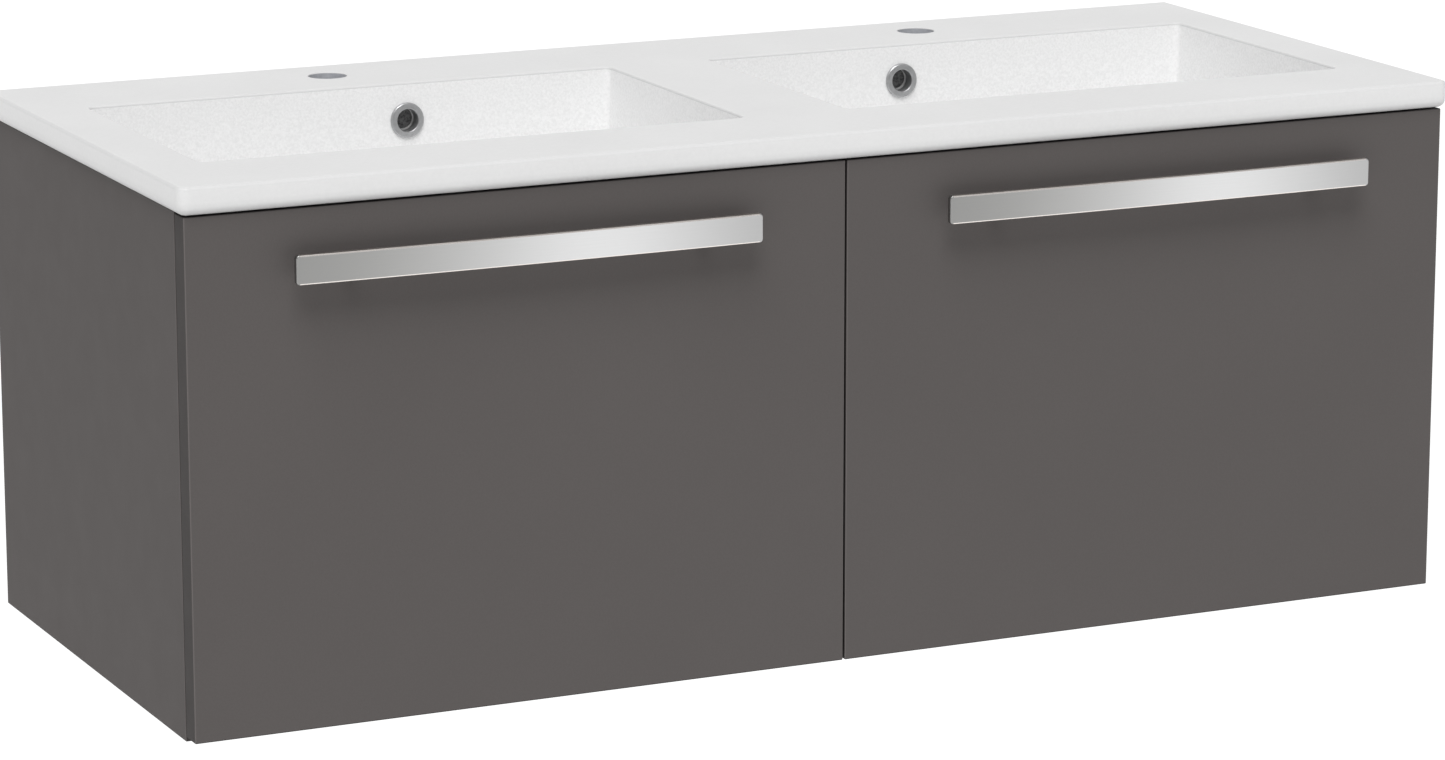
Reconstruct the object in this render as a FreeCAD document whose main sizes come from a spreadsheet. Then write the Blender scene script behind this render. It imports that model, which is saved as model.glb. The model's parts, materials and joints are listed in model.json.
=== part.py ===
import FreeCAD, Part
import Sketcher
import math
import os
import re
from FreeCAD import Placement, Rotation, Vector

# A wall-hung double vanity. X runs across its width, the wall is the plane Y = 0 and the front looks
# along -Y, and Z is up. The origin is the middle of the four wall screws, on the wall.

DIMENSIONS = [
    ("wide", 1200, "cabinet, over the side panels"),
    ("deep", 506, "wall to the drawer fronts' faces"),
    ("tall", 450, "side panels"),
    ("board", 16, "carcass board"),
    ("slab_under", 90, "underside of the basin slab above the wall screws' middle"),
    ("slab_thick", 24, "basin slab"),
    ("slab_side", 5, "slab past each side panel"),
    ("slab_front", 5, "slab past the drawer fronts"),
    ("slab_corner", 9, "slab corners in plan"),
    ("slab_top_round", 3, "slab top edge"),
    ("slab_low_round", 7, "slab lower edge"),
    ("bowl_mid", 300, "bowl centre from the cabinet's middle"),
    ("bowl_wide", 500, "bowl rim, across"),
    ("bowl_deep", 290, "bowl rim, front to back"),
    ("bowl_back", 118, "wall to the bowl's rear rim"),
    ("bowl_fall", 125, "slab top to bowl floor"),
    ("bowl_draft", 2.5, "lean of the bowl walls, degrees"),
    ("bowl_corner", 6, "bowl's upright inner corners"),
    ("bowl_foot", 5, "round between bowl walls and floor"),
    ("rim_round", 2, "bowl rim edge"),
    ("tap_round", 1, "tap hole lip"),
    ("shell", 11, "bowl wall and floor"),
    ("tap_back", 52, "wall to the tap holes"),
    ("tap_hole_half", 17.5, "tap hole radius"),
    ("overflow_mid", 250, "overflow from the cabinet's middle"),
    ("overflow_drop", 34, "slab top to the overflow's centre"),
    ("overflow_lean", 1.484, "bowl wall's lean at the overflow's height"),
    ("overflow_hole", 12.5, "overflow hole radius"),
    ("overflow_seat", 17.5, "recess behind the overflow, radius"),
    ("waste_hole", 23, "waste hole radius"),
    ("hose_back", 96, "wall to the overflow hose's upright run"),
    ("hose_half", 7, "overflow hose radius"),
    ("front_thick", 22, "drawer front"),
    ("front_gap", 2, "front to carcass"),
    ("front_split", 2, "between the two fronts"),
    ("front_top", 1.5, "shadow gap under the slab"),
    ("front_low", 4, "front above the side panels' lower edge"),
    ("front_round", 1, "drawer front edges"),
    ("panel_round", 0.8, "side panels' outer edges"),
    ("handle_long", 422, "handle"),
    ("handle_high", 25, "handle"),
    ("handle_thick", 6, "handle bar"),
    ("handle_reach", 24.5, "handle's face off the front"),
    ("handle_bow", 2.3, "outward bow of the handle"),
    ("handle_drop", 49, "slab underside to the handle's middle"),
    ("handle_end", 3, "rounded corners of the handle, seen from the front"),
    ("handle_edge", 1.2, "rounded long edges of the handle"),
    ("post_pitch", 320, "handle posts, centre to centre"),
    ("post_half", 5, "handle post radius"),
    ("handle_bolt", 2, "handle screw radius"),
    ("box_side", 15, "drawer box board"),
    ("box_high", 190, "drawer box"),
    ("box_long", 420, "drawer box"),
    ("box_lift", 8, "drawer box above the bottom panel"),
    ("box_floor", 8, "drawer bottom board"),
    ("floor_lift", 8, "drawer bottom above the box's lower edge"),
    ("groove", 6, "drawer bottom let into the sides"),
    ("trap_half", 98, "half width of the recess round the trap"),
    ("trap_front", 333, "wall to the front of that recess"),
    ("trap_board", 12, "boards round the recess"),
    ("runner_wide", 13, "runner, cabinet to drawer side"),
    ("runner_long", 400, "runner"),
    ("runner_high", 45, "runner"),
    ("runner_front", 474, "wall to the runner's front end"),
    ("runner_lift", 65, "runner's middle above the box's lower edge"),
    ("steel", 1.2, "runner sheet"),
    ("mid_short", 10, "middle member shorter at each end"),
    ("rail_front", 40, "wall to the back rails' front face"),
    ("rail_top", 70, "slab underside to the hanging rail"),
    ("rail_high", 100, "back rails"),
    ("cross_deep", 50, "front cross rails"),
    ("pipe_half", 35, "radius of the bottom panel's holes for pipes to the floor"),
    ("plate_in", 545, "wall screws from the middle"),
    ("plate_pitch", 32, "wall screws, one above the other"),
    ("plate_thick", 2, "wall plate sheet"),
    ("plate_hole", 3.25, "wall screw hole radius"),
    ("plate_near", 19, "wall screws to the plate's inner edge"),
    ("plate_far", 37, "wall screws to the plate's outer edge"),
    ("plate_low", 118, "slab underside to the plate's foot"),
    ("ledge_low", 58, "slab underside to the plate's ledge"),
    ("ledge_deep", 8, "plate's ledge, out from the wall"),
    ("hook_top", 40, "slab underside to the top of the plate's lip"),
    ("hook_wide", 8, "hook"),
    ("hook_thick", 10, "hook's arm"),
    ("hook_tip", 3, "hook's turned-down end"),
    ("hook_drop", 12, "hook's end below its arm"),
    ("hook_rear", 2.5, "wall to the hook"),
    ("hook_front", 50, "wall to the hook's front end"),
    ("hook_heel", 6, "hook's upstand inside the case"),
    ("case_wide", 16, "hanger case, off the side panel"),
    ("case_front", 60, "wall to the hanger case's front"),
    ("case_rear", 12, "wall to the hanger case's rear"),
    ("case_low", 64, "slab underside to the case's foot"),
    ("case_high", 14, "slab underside to the case's top"),
    ("case_steel", 2, "hanger case sheet"),
    ("case_screw_front", 48, "wall to the case's front screw"),
    ("case_screw_rear", 24, "wall to the case's rear screw"),
    ("case_screw_lift", 10, "case's foot to its screws"),
    ("case_screw_half", 2.4, "case's screw shank radius"),
    ("case_screw_grip", 11, "case's screw in the side panel"),
    ("cam_half", 7.5, "cam lock radius"),
    ("cam_deep", 12.5, "cam lock's bore"),
    ("cam_in", 34, "cam centre from the board's end"),
    ("cam_slot", 3.2, "cam lock's slot radius"),
    ("bolt_half", 3.5, "cam bolt's shank radius"),
    ("bolt_tip", 2.5, "cam bolt's tip and thread radius"),
    ("bolt_grip", 11, "cam bolt in the side panel"),
    ("pin_half", 4, "wooden dowel radius"),
    ("pin_board", 18, "dowel in a board's end"),
    ("pin_panel", 11, "dowel in a board's face"),
    ("pin_short", 7, "dowel in the partition's face"),
    ("bottom_cam_front", 420, "wall to the bottom panel's front cams"),
    ("bottom_cam_rear", 100, "wall to the bottom panel's rear cams"),
    ("bottom_pin_front", 340, "wall to the bottom panel's front dowels"),
    ("bottom_pin_rear", 180, "wall to the bottom panel's rear dowels"),
    ("partition_pin_front", 400, "wall to the partition's front dowel"),
    ("partition_pin_rear", 140, "wall to the partition's rear dowel"),
    ("rail_pin", 22, "rail's middle to its cam above and its dowel below"),
    ("cross_cam", 32, "cross rail's front to its cam"),
    ("cross_pin", 14, "cross rail's front to its dowel"),
    ("cross_step", 9, "cross rail's middle to its dowel in the partition"),
    ("play", 0.1, "clearance round fasteners"),
    ("gasket_thick", 3, "seal under the bowl floor"),
    ("gasket_half", 31, "seal radius"),
    ("tube_bore", 17, "waste tube's inside radius"),
    ("tube_half", 20, "waste tube's outside radius"),
    ("tube_long", 50, "waste tube, below the bowl floor"),
    ("flange_half", 33, "waste flange radius"),
    ("body_half", 30, "collector's outside radius"),
    ("body_tall", 55, "collector, below its seal"),
    ("taper", 8, "collector's cone"),
    ("outlet_half", 16, "outlet pipe's outside radius"),
    ("outlet_bore", 14, "outlet pipe's inside radius"),
    ("outlet_long", 60, "outlet pipe"),
    ("inlet_half", 9, "overflow inlet radius"),
    ("inlet_drop", 30, "collector's top to the overflow inlet"),
    ("inlet_reach", 48, "drain's axis to the inlet's end"),
    ("hub_half", 7, "drain cross's hub radius"),
    ("hub_bore", 4.3, "drain cross's hole radius"),
    ("hub_high", 8, "drain cross"),
    ("hub_low", 22, "bowl floor to the drain cross's underside"),
    ("spoke_wide", 3, "drain cross's arm"),
    ("spoke_in", 5, "drain's axis to the arm's inner end"),
    ("spoke_long", 13.5, "drain cross's arm"),
    ("elbow_cap", 15, "elbow's cap radius"),
    ("elbow_cap_thick", 11, "elbow's cap"),
    ("elbow_half", 9, "elbow's pipe radius"),
    ("elbow_leg", 26, "elbow's leg"),
    ("runner_screw_front", 440, "wall to the runner's front screw"),
    ("runner_screw_mid", 280, "wall to the runner's middle screw"),
    ("runner_screw_rear", 110, "wall to the runner's rear screw"),
    ("runner_screw_half", 2, "runner screw's shank radius"),
    ("runner_screw_grip", 7, "runner screw in the board"),
    ("outer_lip", 8.5, "outer member's flanges, off its board"),
    ("middle_web", 5.8, "middle member's web, off the board"),
    ("middle_near", 2, "middle member's flanges start, off the board"),
    ("middle_far", 10.6, "middle member's flanges end, off the board"),
    ("middle_half", 18.4, "middle member, half height"),
    ("slider_near", 8, "inner member's flanges start, off the board"),
    ("slider_half", 14.5, "inner member, half height"),
    ("bracket_reach", 28, "corner bracket's legs"),
    ("bracket_thick", 2, "corner bracket's sheet"),
    ("bracket_low", 30, "drawer bottom to the bracket"),
    ("bracket_tall", 90, "corner bracket"),
    ("bumper_half", 2.5, "bumper radius"),
    ("bumper_low", 30, "side panel's foot to the lower bumpers"),
    ("bumper_high", 40, "slab underside to the upper bumpers"),
]

SIDES = (("left", -1), ("right", 1))

doc = FreeCAD.newDocument("vanity")
sheet = doc.addObject("Spreadsheet::Sheet", "Dims")
for row, (alias, value, note) in enumerate(DIMENSIONS, start=1):
    sheet.set(f"A{row}", note)
    sheet.set(f"B{row}", str(value))
    sheet.setAlias(f"B{row}", alias)
doc.recompute()

nodes = []
holes = {}

# Levels and planes that several pieces share, as text over the sheet's names.
BOTTOM = "slab_under - tall"
INNER = "wide / 2 - board"
CARCASS_FRONT = "-(deep - front_thick - front_gap)"
FRONT_BACK = "-(deep - front_thick)"
SLAB_TOP = "slab_under + slab_thick"
SLAB_HALF = "wide / 2 + slab_side"
SLAB_FRONT = "-(deep + slab_front)"
BOWL_FLOOR = "slab_under + slab_thick - bowl_fall"
BOWL_NEAR = "bowl_mid - bowl_wide / 2"
BOWL_FAR = "bowl_mid + bowl_wide / 2"
BOWL_REAR = "-bowl_back"
BOWL_FRONT = "-(bowl_back + bowl_deep)"
WASTE_Y = "-(bowl_back + bowl_deep / 2)"
INLET_Z = "slab_under + slab_thick - bowl_fall - shell - gasket_thick - inlet_drop"
ELBOW_SEAT = "-(bowl_back - shell + 2)"
OVERFLOW_Z = "slab_under + slab_thick - overflow_drop"
BOX_LOW = "slab_under - tall + board + box_lift"
BOX_TOP = BOX_LOW + " + box_high"
BOX_BACK = FRONT_BACK + " + box_long"
BOX_NEAR = "board / 2 + runner_wide"
BOX_FAR = "wide / 2 - board - runner_wide"
FLOOR_LOW = BOX_LOW + " + floor_lift"
FLOOR_TOP = FLOOR_LOW + " + box_floor"
RUNNER_Z = BOX_LOW + " + runner_lift"
HANDLE_Z = "slab_under - handle_drop"
FRONT_MID = "wide / 4 + front_split / 4"

# Lengths closer than this are the same.
CLOSE = 0.01


# ---------------------------------------------------------------- making things

def words(text):
    """The text as an expression, with each of the sheet's names made a reference to its cell."""
    return re.sub(r"[a-z][a-z_]+", lambda word: "Dims." + word.group(), str(text))


def value(text):
    """What the text comes to now."""
    return float(sheet.evalExpression(words(text)))


def bind(obj, prop, text):
    obj.setExpression(prop, words(text))


def place(obj, at):
    for letter, text in zip("xyz", at):
        bind(obj, f"Placement.Base.{letter}", text)
    return obj


def node(obj, name):
    obj.Label = name
    nodes.append(obj)
    return obj


def across(side, low, high):
    """An X span given from the cabinet's middle outward, on the left (-1) or the right (+1)."""
    if side > 0:
        return (low, high)
    return (f"-({high})", f"-({low})")


def box(name, x, y, z):
    obj = doc.addObject("Part::Box", name)
    for prop, (low, high) in zip(("Length", "Width", "Height"), (x, y, z)):
        bind(obj, prop, f"({high}) - ({low})")
    return place(obj, (x[0], y[0], z[0]))


def cylinder(name, axis, radius, start, length):
    """A cylinder from its start point along an axis such as (0, -1, 0)."""
    obj = doc.addObject("Part::Cylinder", name)
    obj.Placement = Placement(Vector(), Rotation(Vector(0, 0, 1), Vector(*axis)))
    bind(obj, "Radius", radius)
    bind(obj, "Height", length)
    return place(obj, start)


def together(kind, name, pieces):
    obj = doc.addObject(kind, name)
    if kind == "Part::Compound":
        obj.Links = pieces
    else:
        obj.Shapes = pieces
    return obj


def fuse(name, pieces):
    return together("Part::MultiFuse", name, pieces)


def group(name, pieces):
    return together("Part::Compound", name, pieces)


def cut(name, base, tools):
    obj = doc.addObject("Part::Cut", name)
    obj.Base = base
    obj.Tool = tools[0] if len(tools) == 1 else group(name + "_tools", tools)
    return obj


def drilled(name, base):
    """The board with every hole that other pieces have asked of it."""
    if name in holes:
        return cut(name + "_drilled", base, holes[name])
    return base


def drill(name, tool):
    holes.setdefault(name, []).append(tool)


def edge_names(shape, pick):
    return [f"Edge{i}" for i, edge in enumerate(shape.Edges, start=1) if pick(edge)]


def upright(edge):
    start, end = edge.Vertexes[0].Point, edge.Vertexes[-1].Point
    return (end - start).Length > 1 and abs((end - start).normalize().z) > 0.99


def rounded(name, source, steps):
    """A body that starts from the source and rounds its edges, one fillet for each step."""
    doc.recompute()
    body = doc.addObject("PartDesign::Body", name)
    body.BaseFeature = source
    body.setExpression("Placement", f"{source.Name}.Placement")
    doc.recompute()
    for radius, pick in steps:
        fillet_on(body, radius, pick)
    return body


def fillet_on(body, radius, pick):
    """Round the picked edges of the body's last feature."""
    base = body.Group[-1]
    fillet = body.newObject("PartDesign::Fillet", body.Name + "_round")
    placed = base.Shape.copy()
    placed.Placement = body.Placement.multiply(placed.Placement)
    fillet.Base = (base, edge_names(placed, pick))
    bind(fillet, "Radius", radius)
    body.Tip = fillet
    doc.recompute()


def sketch_on(body, plane, offset):
    sketch = body.newObject("Sketcher::SketchObject", body.Name + "_sketch")
    support = [p for p in body.Origin.OriginFeatures if p.Role == plane][0]
    sketch.AttachmentSupport = (support, [""])
    sketch.MapMode = "FlatFace"
    bind(sketch, "AttachmentOffset.Base.z", offset)
    return sketch


def fix_point(sketch, curve, point, key, x, y):
    """Hold one point of a sketch at (x, y) from its origin."""
    for kind, text in (("DistanceX", x), ("DistanceY", y)):
        label = f"{key}_{kind[-1].lower()}"
        number = sketch.addConstraint(Sketcher.Constraint(kind, -1, 1, curve, point, value(text)))
        sketch.renameConstraint(number, label)
        bind(sketch, f"Constraints.{label}", text)


def polygon(sketch, points):
    first = sketch.GeometryCount
    corners = [Vector(value(x), value(y), 0) for x, y in points]
    count = len(points)
    for i in range(count):
        sketch.addGeometry(Part.LineSegment(corners[i], corners[(i + 1) % count]), False)
    for i in range(count):
        joint = Sketcher.Constraint("Coincident", first + i, 2, first + (i + 1) % count, 1)
        sketch.addConstraint(joint)
    for i, (x, y) in enumerate(points):
        fix_point(sketch, first + i, 1, f"point_{first + i}", x, y)


def rectangle(sketch, x, y):
    polygon(sketch, [(x[0], y[0]), (x[1], y[0]), (x[1], y[1]), (x[0], y[1])])


def circle(sketch, x, y, radius):
    curve = sketch.GeometryCount
    centre, start = Vector(value(x), value(y), 0), value(radius)
    sketch.addGeometry(Part.Circle(centre, Vector(0, 0, 1), start), False)
    fix_point(sketch, curve, 3, f"centre_{curve}", x, y)
    number = sketch.addConstraint(Sketcher.Constraint("Radius", curve, start))
    sketch.renameConstraint(number, f"radius_{curve}")
    bind(sketch, f"Constraints.radius_{curve}", radius)


def pad(body, sketch, length, reverse=False, taper="0"):
    extrude(body, "PartDesign::Pad", sketch, length, reverse, taper)


def pocket(body, sketch, length, reverse=False, taper="0"):
    extrude(body, "PartDesign::Pocket", sketch, length, reverse, taper)


def extrude(body, kind, sketch, length, reverse, taper):
    before = body.Shape.Volume if body.Tip else 0
    feature = body.newObject(kind, body.Name + "_" + kind[12:].lower())
    feature.Profile = sketch
    feature.Reversed = reverse
    bind(feature, "Length", length)
    bind(feature, "TaperAngle", taper)
    body.Tip = feature
    doc.recompute()
    grew = body.Shape.Volume - before
    if (grew > 0) != (kind == "PartDesign::Pad"):
        raise ValueError(f"{feature.Label} changed nothing")


def revolved(name, outline, at, lean=0):
    """A body turned from (radius, height) points, its axis upright or leant back over X."""
    body = doc.addObject("PartDesign::Body", name)
    sketch = sketch_on(body, "XZ_Plane", "0")
    polygon(sketch, outline)
    turn = body.newObject("PartDesign::Revolution", name + "_turn")
    turn.Profile = sketch
    turn.ReferenceAxis = (sketch, ["V_Axis"])
    turn.Angle = 360
    body.Tip = turn
    body.Placement = Placement(Vector(), Rotation(Vector(1, 0, 0), lean))
    return place(body, at)


# ---------------------------------------------------------------- basin slab

def on_bowl_wall(edge):
    """An edge between two of a bowl's upright walls, inside or out."""
    run = edge.Vertexes[-1].Point - edge.Vertexes[0].Point
    return run.Length > value("bowl_fall / 2") and abs(run.z) > 0.95 * run.Length


def at_level(level, where=lambda centre: True):
    """Picks edges that lie flat at one height, if their middle is where it is asked to be."""
    def pick(edge):
        bounds = edge.BoundBox
        flat = abs(bounds.ZMin - level) < CLOSE and abs(bounds.ZMax - level) < CLOSE
        return flat and where(bounds.Center)
    return pick


def slab_plate(body):
    outline = sketch_on(body, "XY_Plane", "slab_under")
    rectangle(outline, (f"-({SLAB_HALF})", SLAB_HALF), (SLAB_FRONT, "0"))
    pad(body, outline, "slab_thick")
    front_line = value(SLAB_FRONT)
    fillet_on(body, "slab_corner",
              lambda edge: upright(edge) and abs(edge.BoundBox.YMin - front_line) < CLOSE)


def bowl_outsides(body):
    shells = sketch_on(body, "XY_Plane", "slab_under")
    for _, side in SIDES:
        rectangle(shells, across(side, f"{BOWL_NEAR} - shell", f"{BOWL_FAR} + shell"),
                  (f"{BOWL_FRONT} - shell", f"{BOWL_REAR} + shell"))
    pad(body, shells, "bowl_fall + shell - slab_thick", True, "-bowl_draft")
    fillet_on(body, "bowl_corner + shell", on_bowl_wall)
    fillet_on(body, "bowl_foot + shell", at_level(value(BOWL_FLOOR + " - shell")))


def bowl_insides(body):
    bowls = sketch_on(body, "XY_Plane", SLAB_TOP)
    for _, side in SIDES:
        rectangle(bowls, across(side, BOWL_NEAR, BOWL_FAR), (BOWL_FRONT, BOWL_REAR))
    pocket(body, bowls, "bowl_fall", False, "-bowl_draft")
    floor, top = value(BOWL_FLOOR), value(SLAB_TOP)

    def inner_corner(edge):
        bounds = edge.BoundBox
        whole = abs(bounds.ZMin - floor) < CLOSE and abs(bounds.ZMax - top) < CLOSE
        return whole and on_bowl_wall(edge)

    fillet_on(body, "bowl_corner", inner_corner)
    fillet_on(body, "bowl_foot", at_level(floor))


def basin_holes(body):
    """Wastes and taps straight down, then the overflows and the recesses behind them."""
    through = sketch_on(body, "XY_Plane", SLAB_TOP)
    for _, side in SIDES:
        circle(through, f"{side} * bowl_mid", WASTE_Y, "waste_hole")
        circle(through, f"{side} * bowl_mid", "-tap_back", "tap_hole_half")
    pocket(body, through, "bowl_fall + 2 * shell")
    for radius, depth in (("overflow_hole", "5 * shell"), ("overflow_seat", "2 * shell + 2")):
        behind = sketch_on(body, "XZ_Plane", "bowl_back - 3 * shell")
        for _, side in SIDES:
            circle(behind, f"{side} * overflow_mid", OVERFLOW_Z, radius)
        pocket(body, behind, depth, True)


def basin_edges(body):
    front_line, end_line = value(SLAB_FRONT), value(SLAB_HALF)
    margin = value("2 * slab_corner")
    rear, top, under = value(BOWL_REAR), value(SLAB_TOP), value("slab_under")

    def on_outline(centre):
        return centre.y < front_line + margin or abs(centre.x) > end_line - margin

    def on_rim(centre):
        return centre.y < rear + CLOSE and not on_outline(centre)

    def on_tap_hole(centre):
        return rear + CLOSE < centre.y < -CLOSE and not on_outline(centre)

    for radius, level, where in (("rim_round", top, on_rim), ("tap_round", top, on_tap_hole),
                                 ("slab_top_round", top, on_outline),
                                 ("slab_low_round", under, on_outline)):
        fillet_on(body, radius, at_level(level, where))


def make_basin():
    body = doc.addObject("PartDesign::Body", "basin_top")
    slab_plate(body)
    bowl_outsides(body)
    bowl_insides(body)
    basin_holes(body)
    basin_edges(body)
    node(body, "basin_top")


# ---------------------------------------------------------------- fasteners

locks, bolts, pins = [], [], []


def cam_set(board, panel, side, y, z, mouth, into):
    """A cam lock in a board and its bolt in the side panel that the board's end meets.

    The lock's bore opens at mouth, which is a height or a depth, and runs along into.
    """
    name = f"cam_{len(locks)}"
    inward, outward = (-side, 0, 0), (side, 0, 0)
    at_face = (f"{side} * ({INNER})", y, z)
    centre = f"{side} * ({INNER} - cam_in)"
    start = (centre, y, mouth) if into[2] else (centre, mouth, z)
    barrel = cylinder(name + "_body", into, "cam_half", start, "cam_deep - 0.5")
    slot = cylinder(name + "_slot", inward, "cam_slot", at_face, "cam_in - 1")
    locks.append(cut(name, barrel, [slot]))
    shank = cylinder(name + "_shank", inward, "bolt_half", at_face, "cam_in - cam_half")
    tip = cylinder(name + "_tip", inward, "bolt_tip", at_face, "cam_in - 2")
    thread = cylinder(name + "_thread", outward, "bolt_tip", at_face, "bolt_grip")
    bolts.append(fuse(name + "_bolt", [shank, tip, thread]))
    drill(board, cylinder(name + "_bore", into, "cam_half + play", start, "cam_deep"))
    drill(board, cylinder(name + "_run", inward, "bolt_half + 2 * play", at_face,
                          "cam_in - cam_half + 2"))
    drill(panel, cylinder(name + "_tap", outward, "bolt_tip + play", at_face, "bolt_grip + 0.5"))


def dowel(board, panel, axis, at, in_panel="pin_panel"):
    """A wooden dowel across the meeting plane: axis points into the panel."""
    name = f"dowel_{len(pins)}"
    back = tuple(-v for v in axis)
    halves = []
    for tag, piece, direction, length in (("a", board, back, "pin_board"), ("b", panel, axis, in_panel)):
        drill(piece, cylinder(f"{name}_bore_{tag}", direction, "pin_half + play", at, f"{length} + 1"))
        halves.append(cylinder(f"{name}_{tag}", direction, "pin_half", at, length))
    pins.append(fuse(name, halves))


def place_fasteners():
    board_mid = BOTTOM + " + board / 2"
    rail_mid = "-(rail_front - board / 2)"
    cross_mid = "slab_under - board / 2"
    rails = (("hanging_rail", "slab_under - rail_top - rail_high / 2"),
             ("lower_back_rail", BOTTOM + " + board + rail_high / 2"))
    up, rearward, down = (0, 0, 1), (0, 1, 0), (0, 0, -1)
    for label, side in SIDES:
        panel, cross = "side_panel_" + label, "front_crossrail_" + label
        end, outward, inward = f"{side} * ({INNER})", (side, 0, 0), (-side, 0, 0)
        for y in ("-bottom_cam_front", "-bottom_cam_rear"):
            cam_set("bottom_panel", panel, side, y, board_mid, BOTTOM, up)
        for y in ("-bottom_pin_front", "-bottom_pin_rear"):
            dowel("bottom_panel", panel, outward, (end, y, board_mid))
        for rail, middle in rails:
            cam_set(rail, panel, side, rail_mid, f"{middle} + rail_pin",
                    "-(rail_front - board)", (0, -1, 0))
            dowel(rail, panel, outward, (end, rail_mid, f"{middle} - rail_pin"))
        cam_set(cross, panel, side, CARCASS_FRONT + " + cross_cam", cross_mid, "slab_under - board", up)
        dowel(cross, panel, outward, (end, CARCASS_FRONT + " + cross_pin", cross_mid))
        apart = f" + cross_deep / 2 - {side} * cross_step"
        dowel(cross, "centre_partition", inward,
              (f"{side} * board / 2", CARCASS_FRONT + apart, cross_mid), "pin_short")
    for y in ("-partition_pin_front", "-partition_pin_rear"):
        dowel("centre_partition", "bottom_panel", down, ("0", y, BOTTOM + " + board"))
    for rail, middle in rails:
        dowel("centre_partition", rail, rearward, ("0", "-rail_front", middle))


# ---------------------------------------------------------------- carcass

def make_side_panel(label, side):
    name = "side_panel_" + label
    plain = box(name + "_board", across(side, INNER, "wide / 2"), (CARCASS_FRONT, "0"),
                (BOTTOM, "slab_under"))
    outer = side * value("wide / 2")

    def outside(edge):
        bounds = edge.BoundBox
        level = abs(bounds.XMin - outer) < CLOSE and abs(bounds.XMax - outer) < CLOSE
        return level and bounds.YMin < -1

    node(drilled(name, rounded(name + "_rounded", plain, [("panel_round", outside)])), name)


def make_board(name, x, y, z):
    node(drilled(name, box(name + "_board", x, y, z)), name)


def make_carcass():
    for label, side in SIDES:
        make_side_panel(label, side)
        drill("bottom_panel", cylinder(f"pipe_hole_{label}", (0, 0, 1), "pipe_half",
                                       (f"{side} * bowl_mid", WASTE_Y, BOTTOM + " - 1"), "board + 2"))
    span = (f"-({INNER})", INNER)
    rail_rear = "-(rail_front - board)"
    make_board("bottom_panel", span, (CARCASS_FRONT, rail_rear), (BOTTOM, BOTTOM + " + board"))
    make_board("centre_partition", ("-board / 2", "board / 2"), (CARCASS_FRONT, "-rail_front"),
               (BOTTOM + " + board", "slab_under"))
    make_board("hanging_rail", span, ("-rail_front", rail_rear),
               ("slab_under - rail_top - rail_high", "slab_under - rail_top"))
    make_board("lower_back_rail", span, ("-rail_front", rail_rear),
               (BOTTOM + " + board", BOTTOM + " + board + rail_high"))
    for label, side in SIDES:
        make_board("front_crossrail_" + label, across(side, "board / 2", INNER),
                   (CARCASS_FRONT, CARCASS_FRONT + " + cross_deep"),
                   ("slab_under - board", "slab_under"))
    node(group("cam_lock_set", locks), "cam_locks")
    node(group("cam_bolt_set", bolts), "cam_bolts")
    node(group("dowel_set", pins), "dowels")


# ---------------------------------------------------------------- hanging on the wall

def make_case(label, side, screws):
    """The hanger's steel case, open to the wall, and the two screws that hold it."""
    low, high = "slab_under - case_low", "slab_under - case_high"
    near = f"{INNER} - case_wide"
    blank = box(f"case_blank_{label}", across(side, near, INNER), ("-case_front", "-case_rear"),
                (low, high))
    hollow = box(f"case_hollow_{label}", across(side, near + " + case_steel", INNER + " - case_steel"),
                 ("-(case_front - case_steel)", "-(case_rear - 1)"),
                 (low + " + case_steel", high + " - case_steel"))
    shell = cut(f"case_{label}", blank, [hollow])
    bores = []
    screw_z = low + " + case_screw_lift"
    outward, inward = (side, 0, 0), (-side, 0, 0)
    for tag, y in (("front", "-case_screw_front"), ("rear", "-case_screw_rear")):
        name = f"case_screw_{label}_{tag}"
        seat = (f"{side} * ({INNER} - case_steel)", y, screw_z)
        bores.append(cylinder(name + "_hole", outward, "case_screw_half + 2 * play",
                              (f"{side} * ({INNER} - case_steel - 1)", y, screw_z), "2 * case_steel"))
        head = cylinder(name + "_head", inward, "1.5 * case_screw_half", seat, "1.8")
        shank = cylinder(name + "_shank", outward, "case_screw_half", seat,
                         "case_steel + case_screw_grip")
        screws.append(fuse(name, [head, shank]))
        drill(f"side_panel_{label}",
              cylinder(name + "_pilot", outward, "case_screw_half + play",
                       (f"{side} * ({INNER})", y, screw_z), "case_screw_grip + 0.5"))
    node(cut(f"case_drilled_{label}", shell, bores), f"hanger_body_{label}")


def make_hook(label, side):
    """The arm that runs out of the case and drops behind the wall plate's lip."""
    outer = f"{INNER} - case_wide / 2 + hook_wide / 2"
    x = across(side, f"{outer} - hook_wide", outer)
    arm_low = "slab_under - hook_top"
    arm = box(f"hook_arm_{label}", x, ("-hook_front", "-hook_rear"), (arm_low, arm_low + " + hook_thick"))
    tip = box(f"hook_tip_{label}", x, ("-(hook_rear + hook_tip)", "-hook_rear"),
              (arm_low + " - hook_drop", arm_low + " + 1"))
    heel = box(f"hook_heel_{label}", x, ("-hook_front", "-(hook_front - hook_heel)"),
               (arm_low, arm_low + " + 2 * hook_thick"))
    node(fuse(f"hook_{label}", [arm, tip, heel]), f"hanger_hook_{label}")


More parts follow.
